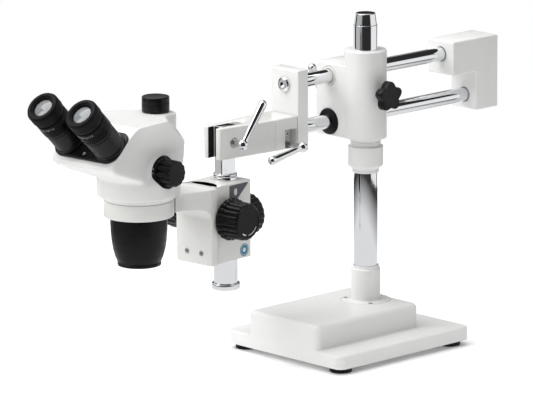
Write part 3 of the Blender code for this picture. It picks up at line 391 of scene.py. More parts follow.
def loft(sections, close_ends=True, bm=None):
    """Skin a list of equally long point rings, in a new mesh or one that is given."""
    bm = bm or bmesh.new()
    rings = [[bm.verts.new(point) for point in section] for section in sections]
    count = len(rings[0])
    pairs = list(zip(rings, rings[1:]))
    if not close_ends:
        pairs.append((rings[-1], rings[0]))
    for lower, upper in pairs:
        for i in range(count):
            j = (i + 1) % count
            bm.faces.new((lower[i], lower[j], upper[j], upper[i]))
    if close_ends:
        bm.faces.new(list(reversed(rings[0])))
        bm.faces.new(rings[-1])
    return bm


def soft_block(outline, low, high, edge=1.0, steps=4, bottom_edge=None):
    """An upright block whose top and bottom edges are rounded."""
    bottom_edge = edge if bottom_edge is None else bottom_edge
    levels = sorted((low + rise, -inset) for inset, rise in quarter(bottom_edge, steps))
    levels += [(high - rise, -inset) for inset, rise in quarter(edge, steps)]
    return loft([[(x, y, z) for x, y in grown(outline, inset)] for z, inset in levels])


def circle(radius, z, segments, start=0.0):
    turns = [start + math.tau * i / segments for i in range(segments)]
    return [(radius * math.cos(turn), radius * math.sin(turn), z) for turn in turns]


def turned(profile, rounding=0.0, segments=96, hollow=False):
    """A solid of revolution about Z; the ends of an open profile are closed flat."""
    if rounding:
        first, last = profile[0], profile[-1]
        if not hollow:
            profile = [(0.0, first[1])] + profile + [(0.0, last[1])]
        radii = rounding if isinstance(rounding, (list, tuple)) else [rounding] * (len(profile))
        if not hollow:
            radii = [0.0] + list(radii)[:len(profile) - 2] + [0.0]
        profile = rounded(profile, radii, 5)
        if not hollow:
            profile = [point for point in profile if point[0] > 1e-6]
    sections = [circle(radius, z, segments) for radius, z in profile]
    return loft(sections, close_ends=not hollow)


def wavy(radius, depth, lobes, z, sharp=1.0, per_lobe=8):
    """A ring with rounded ribs."""
    points = []
    for i in range(lobes * per_lobe):
        angle = math.tau * i / (lobes * per_lobe)
        wave = 0.5 + 0.5 * math.cos(lobes * angle)
        size = radius - depth * (1.0 - wave ** sharp)
        points.append((size * math.cos(angle), size * math.sin(angle), z))
    return points


def at(x, y, z, rotation=(0.0, 0.0, 0.0)):
    made = Matrix.Translation((x, y, z))
    for angle, axis in zip(reversed(rotation), "ZYX"):
        made = made @ spun(angle, axis)
    return made


ALONG_X = spun(90.0, "Y")
ALONG_MINUS_X = spun(-90.0, "Y")
ALONG_MINUS_Y = spun(90.0, "X")
ALONG_Y = spun(-90.0, "X")
SIDE_ON = Matrix(((0, 0, 1, 0), (1, 0, 0, 0), (0, 1, 0, 0), (0, 0, 0, 1)))
SIDES = (("right", 1, ALONG_X), ("left", -1, ALONG_MINUS_X))


def mesh_object(name, bm, place):
    bmesh.ops.recalc_face_normals(bm, faces=bm.faces)
    bmesh.ops.transform(bm, matrix=Matrix.Scale(MM, 4) @ place, verts=bm.verts)
    mesh = bpy.data.meshes.new(name)
    bm.to_mesh(mesh)
    bm.free()
    obj = bpy.data.objects.new(name, mesh)
    bpy.context.scene.collection.objects.link(obj)
    return obj


def settle(obj):
    """Apply the object's modifiers."""
    depsgraph = bpy.context.evaluated_depsgraph_get()
    mesh = bpy.data.meshes.new_from_object(obj.evaluated_get(depsgraph))
    old = obj.data
    obj.modifiers.clear()
    obj.data = mesh
    mesh.name = old.name
    bpy.data.meshes.remove(old)


def combine(obj, bm, place, operation="DIFFERENCE"):
    """Cut a solid from the object, or join it on."""
    other = mesh_object(obj.name + "_tool", bm, place)
    boolean = obj.modifiers.new("shape", "BOOLEAN")
    boolean.operation = operation
    boolean.solver = "EXACT"
    boolean.object = other
    settle(obj)
    bpy.data.objects.remove(other, do_unlink=True)


def drill(obj, radius, low, high, place, segments=48):
    """Cut a plain round hole along the place's own Z axis."""
    combine(obj, turned([(radius, low), (radius, high)], 0.0, segments), place)


def finish_piece(obj, finish, body, stands_for=(), crease=32.0):
    """Give the object its finish, ride it on its body and hide the CAD parts it stands for."""
    obj.data.materials.clear()
    obj.data.materials.append(FINISHES[finish])
    obj.data.polygons.foreach_set("material_index", [0] * len(obj.data.polygons))
    obj.data.shade_smooth()
    obj.data.set_sharp_from_angle(angle=math.radians(crease))
    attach(obj, body)
    if stands_for:
        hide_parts(*stands_for)
    return obj


def piece(name, bm, place, finish, body, stands_for=(), crease=32.0):
    finish_piece(mesh_object(name, bm, place), finish, body, stands_for, crease)


def socket_screw(name, place, body, radius, height, socket, crown=0.0, finish="steel"):
    """A screw head standing on its own Z axis, with a real socket in its crown."""
    profile = [(radius, 0.0), (radius, height - crown)]
    if crown:
        profile += [((radius + x) / 2, z) for x, z in dome(radius, height - crown, crown, range(15, 76, 15))]
    profile.append((profile[-1][0] if crown else radius - 0.35, height))
    head = mesh_object(name, turned(profile, 0.0, 40), place)
    depth = min(0.6 * height, socket)
    combine(head, loft([circle(socket, z, 6, math.pi / 6) for z in (height - depth, height + 1.0)]), place)
    return finish_piece(head, finish, body)


# ---------------------------------------------------------------- base and column

def foot_places():
    reach_x, reach_y = (size / 2 - FOOT_INSET for size in BASE_SIZE)
    for side, x in (("left", -reach_x), ("right", reach_x)):
        for end, y in (("front", -reach_y), ("rear", reach_y)):
            yield "foot_%s_%s" % (end, side), STAND @ at(x, BASE_CENTRE_Y + y, 0.0)


def make_base():
    half_x, half_y = BASE_SIZE[0] / 2, BASE_SIZE[1] / 2
    outline = rounded(rectangle(half_x, half_y, (0.0, BASE_CENTRE_Y)), BASE_CORNER, 12)
    base = mesh_object("base", soft_block(outline, FOOT_HEIGHT, PLATE_TOP, 3.0, 6, 1.2), STAND)
    front = BASE_CENTRE_Y - half_y
    middle = (0.0, (PLINTH_REAR_Y + front) / 2)
    outline = rounded(rectangle(PLINTH_WIDTH / 2, (PLINTH_REAR_Y - front) / 2, middle), 9.0, 10)
    crown, fillet = 6.5, 2.2
    levels = [(FOOT_HEIGHT + 4.0, -1.0), (FOOT_HEIGHT + 4.1, fillet)]
    levels += [(PLATE_TOP + inset, rise) for inset, rise in quarter(fillet, 5)]
    levels += [(PLINTH_TOP - rise, -inset) for inset, rise in quarter(crown, 8)]
    sections = []
    for z, grow in levels:
        section = grown(outline, grow)
        sections.append([(x, max(y, front + (0.02 if grow > 0.0 else 0.0)), z) for x, y in section])
    combine(base, loft(sections), STAND, "UNION")
    recess = FLANGE_RADIUS + 0.45
    floor = PLINTH_TOP - 4.6
    hole = turned([(COLUMN_RADIUS + GAP, 14.0), (COLUMN_RADIUS + GAP, floor), (recess, floor),
                   (recess, 70.0)])
    combine(base, hole, STAND)
    for _, place in foot_places():
        drill(base, FOOT_RADIUS + GAP, 0.0, FOOT_HEIGHT + 2.0, place)
    finish_piece(base, "cast_white", "stand", ["base_casting"], crease=30.0)


def make_feet():
    top = FOOT_HEIGHT + 1.7
    profile = [(4.0, 2.2), (4.0, 0.8), (6.5, 0.8), (6.5, 0.0), (10.0, 0.0), (10.0, 0.9), (10.8, 0.9),
               (10.8, 0.0), (FOOT_RADIUS, 0.0), (FOOT_RADIUS, top), (2.2, top), (2.2, 2.2)]
    radii = [0, 0.3, 0.3, 0.4, 0.3, 0, 0, 0.3, 1.6, 0.4, 0, 0]
    for name, place in foot_places():
        piece(name + "_pad", turned(profile, radii, 64, True), place, "black_rubber", "stand", [name])


def make_column():
    inner = COLUMN_RADIUS + GAP
    low = PLINTH_TOP - 4.3
    profile = [(inner, low), (FLANGE_RADIUS, low), (FLANGE_RADIUS, FLANGE_TOP), (SLEEVE_RADIUS, FLANGE_TOP),
               (SLEEVE_RADIUS, 103.2), (SLEEVE_RADIUS - 1.9, 104.6), (SLEEVE_RADIUS - 1.9, 108.0),
               (inner, 108.0)]
    radii = [0, 0, 0.5, 2.2, 0.9, 0.5, 0.7, 0.3]
    flange = mesh_object("base_flange", turned(profile, radii, 128, True), STAND)
    screw_ring = 27.7
    for angle in (-30.0, 90.0, 210.0):
        spot = STAND @ at(*polar(screw_ring, angle), FLANGE_TOP)
        seat = turned([(3.9, -3.4), (3.9, -0.9), (4.5, 0.05), (4.5, 2.0)], 0.0, 40)
        combine(flange, seat, spot)
        screw = spot @ at(0.0, 0.0, -3.2)
        socket_screw("flange_screw_%d" % int(angle % 360), screw, "stand", 3.5, 2.7, 1.7)
    finish_piece(flange, "painted_white", "stand", ["column_flange"], crease=30.0)

    profile = [(12.0, 14.3), (COLUMN_RADIUS, 14.3), (COLUMN_RADIUS, COLUMN_TOP), (12.0, COLUMN_TOP)]
    piece("column_tube", turned(profile, [0, 1.0, 0.3, 0.3], 128, True), STAND, "chrome", "stand",
          ["column"])
    profile = [(11.7, COLUMN_TOP - 8.0), (11.7, COLUMN_TOP + 0.3), (COLUMN_RADIUS - 0.4, COLUMN_TOP + 0.3),
               (13.4, CAP_TOP)]
    cap = turned(profile, [0, 0, 0.3, 1.0], 128)
    piece("column_plug", cap, STAND, "chrome", "stand", ["column_cap"])


def thumb_screw(name, place, body, node, ribs, plain, knurled, crown):
    """A knurled screw: the shank, the knurl and the crown as (radius, height) steps."""
    rings = [circle(radius, z, ribs * 4) for radius, z in plain]
    rings += [wavy(radius, depth, ribs, z, 1.0, 4) for radius, z, depth in knurled]
    rings += [circle(radius, z, ribs * 4) for radius, z in crown]
    piece(name, loft(rings), place, "black_metal", body, [node], crease=40.0)


def make_collar():
    inner = COLUMN_RADIUS + GAP
    profile = [(inner, 236.5), (17.9, 236.5), (17.9, 241.3), (23.8, 246.7), (23.8, 272.8), (20.3, 272.8),
               (20.3, 279.2), (inner, 279.2)]
    collar = mesh_object("collar", turned(profile, [0.3, 0.5, 0.5, 1.0, 0.8, 0.5, 0.5, 0.3], 128, True),
                         STAND)
    aim = STAND @ at(0.0, 0.0, COLLAR_SCREW_Z, (0.0, 90.0, COLLAR_SCREW_AIM))
    drill(collar, 3.3, 15.0, 27.0, aim, 32)
    finish_piece(collar, "painted_white", "collar", ["stop_collar"], crease=30.0)
    start = 25.8
    thumb_screw("collar_thumb_screw", aim, "collar_screw", "collar_screw", 30,
                ((2.9, 16.6), (2.9, start), (6.4, start)),
                ((7.0, start + 0.7, 0.35), (7.0, start + 5.6, 0.35), (6.6, start + 6.2, 0.1)),
                ((5.6, start + 7.0), (2.6, start + 7.0), (2.4, start + 5.6)))


# ---------------------------------------------------------------- carriage and boom

def on_rod(y, z):
    """A place on the axis of the rod at this height, with its Z axis pointing forward."""
    return STAND @ at(ROD_X, y, z) @ ALONG_MINUS_Y


def make_carriage():
    low, high = CARRIAGE_Z
    profile = [(20.6, 279.5), (20.6, low), (CARRIAGE_RADIUS, low), (CARRIAGE_RADIUS, high)]
    barrel = turned(profile, [0.5, 0.6, 1.6, 1.6], 128)
    carriage = mesh_object("carriage_body", barrel, STAND)
    corners = [(2.0, SLAB_HALF_Y), (SLAB_OUTER_X, SLAB_HALF_Y), (SLAB_OUTER_X, -SLAB_HALF_Y),
               (2.0, -SLAB_HALF_Y)]
    outline = rounded(corners, [0.0, 5.0, 5.0, 0.0], 8)
    combine(carriage, soft_block(outline, low + 0.02, SLAB_TOP, 2.0, 4, 1.5), STAND, "UNION")
    bore = COLUMN_RADIUS + GAP
    drill(carriage, bore, low - 5.0, high + 5.0, STAND, 96)
    mouth = SLAB_HALF_Y + 0.1
    for z, radius in ((UPPER_ROD_Z, 12.8), (LOWER_ROD_Z, 17.6)):
        rod = on_rod(0.0, z)
        hole = [(radius + 0.9, -mouth - 3.0), (radius + 0.9, -mouth), (radius, 1.0 - mouth),
                (radius, mouth - 1.0), (radius + 0.9, mouth), (radius + 0.9, mouth + 3.0)]
        combine(carriage, turned(hole), rod)
    drill(carriage, 5.4, 13.0, 34.0, STAND @ at(0.0, 0.0, STAR_Z) @ ALONG_X, 40)
    drill(carriage, STUD_HOLE, 0.0, 22.0, STAND @ at(-60.0, 0.0, 330.0) @ ALONG_MINUS_X, 32)
    finish_piece(carriage, "painted_white", "carriage", ["carriage"], crease=30.0)

    inner = ROD_RADIUS + GAP
    for name, z, radius, proud, finish in (("upper_bush", UPPER_ROD_Z, 12.5, 0.8, "nylon"),
                                           ("lower_bush", LOWER_ROD_Z, 17.3, 3.5, "black_satin")):
        mouth = SLAB_HALF_Y + proud
        profile = [(inner, -mouth), (inner + 1.6, -mouth), (radius, -mouth + 1.4), (radius, mouth - 1.4),
                   (inner + 1.6, mouth), (inner, mouth)]
        sleeve = turned(profile, [0.5, 0.6, 0.8, 0.8, 0.6, 0.5], 96, True)
        place = on_rod(0.0, z)
        piece(name + "_sleeve", sleeve, place, finish, "carriage", [name])


def make_star_knob():
    """Five round lobes joined by open hollows; the first lobe points along -X."""
    low, high, radius = 36.0, 50.0, 20.5
    sections = []
    for part, z in ((0.78, low), (0.93, low + 0.8), (1.0, low + 2.6), (1.0, high - 1.8), (0.975, high - 0.6),
                    (0.94, high), (0.90, high), (0.87, high - 0.5), (0.3, high - 0.6)):
        star = wavy(radius * part, 5.6 * part, 5, z, 0.75, 20)
        sections.append([(-x, -y, z) for x, y, z in star])
    rings = [circle(4.7, 16.9, 100), circle(4.7, 33.6, 100), circle(9.5, 34.6, 100),
             circle(9.5, low - 0.1, 100)]
    place = STAND @ at(0.0, 0.0, STAR_Z) @ ALONG_X
    piece("clamp_star", loft(rings + sections), place, "black_plastic", "star_knob", ["star_knob"],
          crease=38.0)


def make_lever(body, nodes, root, face_x, ball_x, angle, length, side=1, through=None):
    """A clamp lever: a ball hub with a tapered handle, on the end of its stud."""
    ball, neck, tip = 7.4, 4.0, 5.8
    profile = [polar(ball, degrees - 90.0) for degrees in range(24, 152, 8)]
    profile += [(neck + 0.25, ball + 0.2), (neck, ball + 1.6)]
    end = length - tip
    for k in range(1, 9):
        part = k / 8
        profile.append((neck + (tip - neck) * part ** 1.3, ball + 1.6 + (end - ball - 1.6) * part))
    profile += dome(tip, end, tip, range(15, 90, 15))
    handle = mesh_object(body + "_handle", turned(profile, 0.0, 64),
                         STAND @ at(ball_x, *root, (angle, 0.0, 0.0)))
    lay = ALONG_X if side > 0 else ALONG_MINUS_X
    socket = turned([(3.9, -ball - 4.0), (3.9, -2.7)], 0.0, 48)
    combine(handle, socket, STAND @ at(ball_x, *root) @ lay)
    finish_piece(handle, "chrome", body, [nodes[0]], crease=40.0)

    radius = 3.6
    start, end = face_x - side * 4.0, ball_x - side * 3.0
    if through is not None:
        start = through - 0.3 - 3.5
        boss = face_x - start + 0.3
        profile = [(7.0, 0.0), (7.0, 3.5), (radius, 3.5), (radius, boss), (7.0, boss), (7.0, boss + 2.4),
                   (5.2, boss + 4.0), (radius, boss + 4.0), (radius, end - start)]
        rounding = [0.8, 0.3, 0.0, 0.0, 0.3, 0.8, 0.8, 0.0, 0.3]
    else:
        gap = abs(ball_x - side * ball - face_x)
        low = 4.0 + GAP
        high = low + max(0.8, min(3.0, gap - 1.0))
        profile = [(radius, 0.0), (radius, low), (5.6, low), (5.6, high), (radius, high),
                   (radius, abs(end - start))]
        rounding = [0.3, 0.0, 0.5, 0.5, 0.0, 0.3]
    place = STAND @ at(start, *root) @ lay
    piece(body + "_bolt", turned(profile, rounding, 64), place, "steel", body, [nodes[1]])


def make_boom():
    profile = [(ROD_RADIUS, 0.0), (ROD_RADIUS, ROD_REAR_Y - (FRONT_BLOCK_Y[0] + 5.0))]
    for name, z in (("upper_rod", UPPER_ROD_Z), ("lower_rod", LOWER_ROD_Z)):
        place = on_rod(ROD_REAR_Y, z)
        piece(name + "_bar", turned(profile, 0.8, 96), place, "chrome", "boom", [name])

    outline = rounded(rectangle(26.15, 9.55, (-44.05, -99.15)), 1.8, 5)
    block = mesh_object("boom_front_plate", soft_block(outline, 283.5, 386.8, 1.6, 4), STAND)
    bore = ROD_RADIUS + GAP
    for z in (UPPER_ROD_Z, LOWER_ROD_Z):
        hole = turned([(bore, -9.0), (bore, 5.4), (bore + 0.7, 6.2), (bore + 0.7, 12.0)])
        combine(block, hole, STAND @ at(ROD_X, FRONT_BLOCK_Y[1] - 5.8, z) @ ALONG_Y)
    place = on_rod(FRONT_BLOCK_Y[0], UPPER_ROD_Z)
    drill(block, STUD_HOLE, -9.0, 3.0, place)
    finish_piece(block, "painted_white", "boom", ["front_block"], crease=30.0)

    bolt = socket_screw("end_bolt_head", place @ at(0.0, 0.0, 0.3), "boom", 10.4, 4.4, 4.1, 2.8, "chrome")
    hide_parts("rod_end_bolt")

    low, step, top = 283.5, 338.0, 384.8
    near, middle, far = 189.0, 234.8, WEIGHT_REAR_Y
    outline = rounded([(near, step), (middle, step), (middle, low), (far, low), (far, top), (near, top)],
                      [2.5, 3.0, 2.5, 2.5, 2.5, 2.5], 6)
    weight = mesh_object("counterweight", soft_block(outline, -68.8, -19.4, 2.4, 5), STAND @ SIDE_ON)
    for z, start in ((UPPER_ROD_Z, near), (LOWER_ROD_Z, middle)):
        depth = ROD_REAR_Y + GAP - start
        hole = turned([(bore, 0.0), (bore, depth - 0.9), (bore + 0.9, depth), (bore + 0.9, depth + 4.0)])
        combine(weight, hole, on_rod(ROD_REAR_Y + GAP, z))
    finish_piece(weight, "cast_white", "boom", ["rear_block"], crease=30.0)


def make_arm():
    low, high = ARM_Z
    knuckle, fork, slot = 25.15, 16.0, 7.3
    rear, step, front, slot_end = -109.0, -148.5, -242.4, -187.0
    right = [(knuckle, rear), (knuckle, step), (knuckle - 1.4, step - 0.7), (fork, front), (slot, front)]
    curve = dome(slot, slot_end - slot, slot, range(0, 85, 10))
    radii = [1.6, 0.6, 0.4, 3.0, 1.2] + [0.0] * len(curve)
    outline = mirrored(right + curve, radii)
    outline.reverse()
    arm = mesh_object("fork_arm", soft_block(outline, low, high, 1.6, 4), STAND @ at(ROD_X, 0.0, 0.0))
    bore = ROD_RADIUS + GAP
    drill(arm, bore, 100.0, 120.0, on_rod(0.0, LOWER_ROD_Z), 96)
    drill(arm, 4.4, -30.0, 30.0, STAND @ at(ROD_X, POST_POS[1], TILT_Z) @ ALONG_X)
    window = soft_block(rounded(rectangle(10.75, 12.6, (0.0, 0.0)), 2.0, 5), 0.0, 30.0, 0.0)
    combine(arm, window, STAND @ at(ROD_X + 13.0, -121.75, 297.4) @ ALONG_X @ at(0, 0, 0, (0, 0, 90)))
    place = STAND @ at(ROD_X, -123.5, 289.5) @ ALONG_X
    drill(arm, 3.9, 5.0, 20.0, place)
    finish_piece(arm, "warm_white", "arm", ["front_arm"], crease=30.0)
    # Painted shade: a black sheet, about a tenth of a millimetre thick, on the inner face of the fork slot
    # stands in for the shade inside the slot.
    pad = upright(rectangle(0.06, 5.0, (-7.2, -237.0)), low + 0.5, high - 0.5)
    piece("arm_slot_shade_sheet", pad, STAND @ at(ROD_X, 0.0, 0.0), "black_plastic", "arm")
    screw = STAND @ at(ROD_X + 13.05, -121.5, 302.7) @ ALONG_X
    socket_screw("arm_clamp_screw", screw, "arm", 4.4, 5.0, 2.0, 0.8)


def make_post():
    profile = [(12.5, 107.0), (16.0, 107.0), (16.0, 257.5), (12.5, 257.5)]
    place = STAND @ at(*POST_POS, 0.0)
    piece("post_tube", turned(profile, [0, 0.8, 0.8, 0], 128, True), place, "chrome", "post", ["focus_post"])

    disc = turned([(16.0, 257.8), (16.0, 261.0)], 0.5, 96)
    blade = mesh_object("post_tongue", disc, place)
    half_x, half_y, top, flare, edge = 7.0, 13.0, 326.0, 5.0, 0.8
    levels = [(half_x, half_y + grow * 0.45, 260.5 + rise) for rise, grow in quarter(flare, 8)]
    levels += [(half_x - inset, half_y - inset, top - drop) for inset, drop in quarter(edge, 4)]
    sections = []
    for wide, deep, z in levels:
        sections.append([(x, y, z) for x, y in rounded(rectangle(wide, deep), 1.6, 5)])
    combine(blade, loft(sections), place, "UNION")
    drill(blade, 4.4, -20.0, 20.0, place @ at(0.0, 0.0, TILT_Z) @ ALONG_X)
    combine(blade, turned([(12.2, 245.8), (12.2, 258.8)], 0.4, 64), place, "UNION")
    finish_piece(blade, "chrome", "post", ["post_blade"], crease=30.0)

    profile = [(0.1, 104.5), (19.2, 104.5), (19.2, 112.5), (16.3, 112.5), (16.3, 106.7), (0.1, 106.7)]
    cup = turned(profile, [0, 1.4, 1.2, 0.3, 0, 0], 128, True)
    piece("post_end_ring", cup, place, "chrome", "post", ["post_collar"])


# ---------------------------------------------------------------- focus mount

def arc_mark(radius, width, start, end, z, thickness, steps=24):
    """A thin printed arc lying on a face."""
    turns = [start + (end - start) * k / steps for k in range(steps + 1)]
    outline = [polar(radius + width / 2, turn) for turn in turns]
    outline += [polar(radius - width / 2, turn) for turn in reversed(turns)]
    return upright(outline, z, z + thickness)


def make_holder():
    front, rear, low, high = -46.0, 21.5, 148.7, 253.3
    slot, channel, half = 6.5, 17.0, 27.0
    right = [(slot, -32.5), (slot, -37.0), (channel, -37.0), (channel, front), (half, front), (half, rear)]
    radii = [0.0, 0.4, 0.0, 0.5, 0.8, 3.0]
    outline = mirrored(right, radii)
    holder = mesh_object("focus_block", soft_block(outline, low, high, 0.9, 3), HANGING)
    bore = 16.0 + 0.6 + 1.4
    chamfer = 0.8
    hole = [(bore, low - 5.0), (bore, high - chamfer), (bore + chamfer, high), (bore + chamfer, high + 5.0)]
    combine(holder, turned(hole), HANGING)
    lay = HANGING @ at(*PINION_AXIS) @ ALONG_X
    drill(holder, FOCUS_SHAFT_HOLE, -40.0, 40.0, lay)
    drill(holder, 8.0, -slot, slot, lay)
    drill(holder, STUD_HOLE, 15.0, 27.0, HANGING @ at(0.0, 0.0, 198.7) @ ALONG_Y)
    gib = ((half - 0.35, -46.5), (half + 1.0, -46.5), (half + 1.0, -39.5), (half - 0.35, -39.5))
    combine(holder, upright(gib, 171.6, 172.1), HANGING)
    finish_piece(holder, "warm_white", "holder", ["post_holder"], crease=30.0)

    profile = [(16.3, low), (17.7, low), (17.7, high), (16.3, high)]
    piece("liner_sleeve", turned(profile, 0.4, 96, True), HANGING, "nylon", "liner", ["holder_liner"])

    face = HANGING @ at(half + 0.02, 0.0, 0.0) @ SIDE_ON
    badge = rounded([(-21.6, 250.8), (16.7, 250.8), (-21.6, 217.8)], 1.2, 5)
    piece("holder_badge", upright(badge, 0.0, 0.12), face, "badge", "holder")
    mark = rounded(rectangle(3.0, 4.6, (-9.5, 241.0)), 2.6, 5)
    piece("holder_badge_mark", upright(mark, 0.12, 0.17), face, "print", "holder")
    disc = face @ at(7.0, 159.6, 0.0)
    sticker = turned([(8.5, 0.0), (8.5, 0.12)], 0.0, 64)
    piece("holder_sticker", sticker, disc, "sticker", "holder")
    ring = arc_mark(7.0, 0.6, 0.0, 359.9, 0.12, 0.05, 60)
    piece("holder_sticker_ring", ring, disc, "print", "holder")
    spot = turned([(3.0, 0.12), (3.0, 0.17)], 0.0, 48)
    piece("holder_sticker_spot", spot, disc, "print", "holder")


def ribbed(profile, ribs, depth, sharp=0.35, per_rib=10):
    """Rings of a knob from (radius, z, share of the rib depth)."""
    return loft([wavy(radius, depth * share, ribs, z, sharp, per_rib) for radius, z, share in profile])


def make_post_clamp():
    profile = [(3.9, 18.3, 0), (3.9, 25.8, 0), (24.0, 26.0, 0), (26.4, 26.3, 0.2), (27.7, 27.4, 0.7),
               (28.4, 29.0, 1.0), (28.4, 45.8, 1.0), (27.9, 47.2, 0.8), (26.6, 48.4, 0.3), (25.4, 48.8, 0),
               (19.5, 48.8, 0), (18.9, 48.2, 0), (4.0, 48.0, 0)]
    place = HANGING @ at(0.0, 0.0, 198.7) @ ALONG_Y
    piece("post_clamp_grip", ribbed(profile, 20, 1.9), place, "black_plastic", "post_clamp",
          ["post_clamp_knob"])


def make_focus_knobs():
    low, high = 32.6, 67.5
    profile = [(24.0, low, 0), (26.6, low + 0.3, 0.2), (28.0, low + 1.6, 0.8), (28.4, low + 3.0, 1.0),
               (28.4, low + 7.6, 1.0), (27.6, low + 9.0, 1.0), (26.2, low + 10.2, 1.0),
               (25.6, low + 12.0, 1.0), (24.9, high - 4.0, 1.0), (24.4, high - 2.6, 0.8),
               (23.2, high - 1.5, 0.25), (22.4, high - 1.2, 0.0), (22.2, high - 0.5, 0), (21.6, high, 0),
               (20.4, high, 0), (19.9, high - 0.7, 0), (2.0, high - 0.8, 0)]
    for side_name, side, lay in SIDES:
        node = "focus_knob_" + side_name
        place = HANGING @ at(*PINION_AXIS) @ lay
        knob = mesh_object(node + "_grip", ribbed(profile, 20, 2.3, 0.25, 14), place)
        drill(knob, FOCUS_SHAFT_HOLE, low - 2.0, low + 10.4, place)
        finish_piece(knob, "black_plastic", "focus_shaft", [node])
        marks = place if side > 0 else place @ Matrix.Rotation(math.pi, 4, "Z")
        for name, start, end, width in (("dash", -38.0, -14.0, 1.5), ("line", 2.0, 62.0, 0.8)):
            mark = arc_mark(17.6, width, start, end, high - 0.72, 0.1)
            piece("%s_%s" % (node, name), mark, marks, "print", "focus_shaft")


def make_slide():
    low, high = 149.0, 252.8
    plate, rear = -51.0, -46.4
    tongue, groove, half = 16.7, 5.8, 32.0
    right = [(groove, -41.0), (groove, -37.3), (tongue, -37.3), (tongue, rear), (26.5, rear), (26.5, plate),
             (half, plate), (half, SLIDE_FRONT)]
    radii = [0.0, 0.0, 0.4, 0.0, 0.6, 0.3, 0.8, 1.6]
    outline = mirrored(right, radii)
    outline.reverse()
    slide = mesh_object("slide_body", soft_block(outline, low, high, 1.0, 3), HANGING)
    for x, name in ((-12.7, "bracket_screw_left"), (12.7, "bracket_screw_right")):
        seat = HANGING @ at(x, SLIDE_FRONT, 164.6) @ ALONG_MINUS_Y
        combine(slide, turned([(3.6, -7.0), (3.6, -0.7), (4.1, 0.05), (4.1, 4.0)], 0.0, 48), seat)
        screw = socket_screw(name + "_head", seat @ at(0.0, 0.0, -4.0), "focus_slide", 3.2, 3.6, 1.6, 0.5)
        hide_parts(name)
    finish_piece(slide, "warm_white", "focus_slide", ["focus_slide"], crease=30.0)


def make_ring_arm():
    low, high = 233.0, 254.6
    inner, outer = 38.3, 46.0
    profile = [(inner, low), (outer, low), (outer, high), (inner, high)]
    ring = mesh_object("head_ring", turned(profile, [0.4, 1.0, 1.0, 0.4], 144, True), HEAD)
    start = SLIDE_FRONT - 0.3 - HEAD_Y
    end = 0.90 * inner + 5.0
    floor_low, top, round_over, fillet = 224.0, 252.8, 2.0, 12.0
    length = start - end
    sections = []
    reaches = [inset for inset, _ in quarter(fillet, 9)]
    reaches += [fillet + (length - fillet) * k / 12 for k in range(1, 13)]
    for reach in reaches:
        part = reach / length
        y = start - reach
        waist = 32.0 - 9.5 * math.sin(min(1.0, part * 1.35) * math.pi / 2)
        flare = 7.0 * max(0.0, (part - 0.55) / 0.45) ** 2
        drop = max(0.0, fillet - reach)
        floor = floor_low + (low + 0.5 - floor_low) * part - fillet + math.sqrt(fillet ** 2 - drop ** 2)
        outline = rounded(rectangle(waist + flare, (top - floor) / 2, (0.0, (top + floor) / 2)), round_over,
                          4)
        sections.append([(x, y, z) for x, z in outline])
    combine(ring, loft(sections), HEAD, "UNION")
    drill(ring, inner, low - 9.0, high + 9.0, HEAD, 144)
    aim = HEAD @ at(0.0, 0.0, (low + high) / 2, (0.0, 90.0, 137.0))
    drill(ring, 3.4, inner - 4.0, outer + 4.0, aim, 40)
    finish_piece(ring, "warm_white", "focus_slide", ["ring_arm"], crease=30.0)

    begin = outer + 2.5
    thumb_screw("ring_thumb_screw", aim, "ring_clamp", "ring_clamp_screw", 28,
                ((3.0, inner + 0.4), (3.0, begin), (7.2, begin)),
                ((8.2, begin + 0.9, 0.4), (8.2, begin + 8.2, 0.4), (7.7, begin + 9.0, 0.1)),
                ((6.6, begin + 9.5), (3.0, begin + 9.5), (2.7, begin + 8.5)))


# ---------------------------------------------------------------- head

def on_plate(x, reach, lift=0.0):
    """A seat this far up the eyepiece plate's sloping plane, lifted off it by lift."""
    base = (reach * math.sqrt(2.0) - PLATE_PLANE) / 2
    half = lift / math.sqrt(2.0)
    return HEAD @ at(x, base - half, base + PLATE_PLANE + half, (45.0, 0.0, 0.0))


def head_section(z, half_x, front, back, front_corner, back_corner, steps=12):
    """Rounded outline of the head at one height, with its own front and back corners."""
    points = []
    corners = ((1, back, back_corner, 0), (-1, back, back_corner, 90), (-1, front, front_corner, 180),
               (1, front, front_corner, 270))
    for side, edge, corner, start in corners:
        inset = -corner if edge == back else corner
        for i in range(steps + 1):
            x, y = polar(corner, start + 90 * i / steps)
            points.append((side * (half_x - corner) + x, edge + inset + y, z))
    return points


def flowing(stations, spacing):
    """Fill in head stations along z on straight runs, so that the edges stay where they are put."""
    filled = []
    for here, there in zip(stations, stations[1:]):
        steps = max(1, round((there[0] - here[0]) / spacing))
        for k in range(steps):
            filled.append([a + (b - a) * k / steps for a, b in zip(here, there)])
    filled.append(list(stations[-1]))
    return filled


def fall_away(side):
    """What the head's rear corner lacks: a slope runs down beside the port's boss."""
    arc_y, radius, aim = 15.3, 39.7, math.radians(48.9)
    outline = [(26.0, -10.0), (80.0, -10.0), (80.0, 80.0), (-0.5, 80.0)]
    for step in range(17):
        x, y = polar(radius, 90.5 - 41.4 * step / 16)
        outline.append((x, arc_y + y))
    floor, roof = [], []
    for x, y in outline:
        reach = (x - 54.7) * math.cos(aim) + (y + 1.0) * math.sin(aim)
        floor.append((side * x, y, HOUSING_TOP - 1.35 * reach))
        roof.append((side * x, y, HOUSING_TOP + 60.0))
    return loft([floor, roof])


def relaxed(obj, iterations, low=None, high=None):
    """Let the skin flow; between two heights only, if they are given, fading out at both."""
    smooth = obj.modifiers.new("flow", "SMOOTH")
    smooth.factor = 0.5
    smooth.iterations = iterations
    if low is not None:
        band = obj.vertex_groups.new(name="band")
        for vertex in obj.data.vertices:
            inside = min(vertex.co.z / MM - low, high - vertex.co.z / MM)
            band.add([vertex.index], min(1.0, max(0.0, inside / 10.0)), "REPLACE")
        smooth.vertex_group = band.name
    settle(obj)


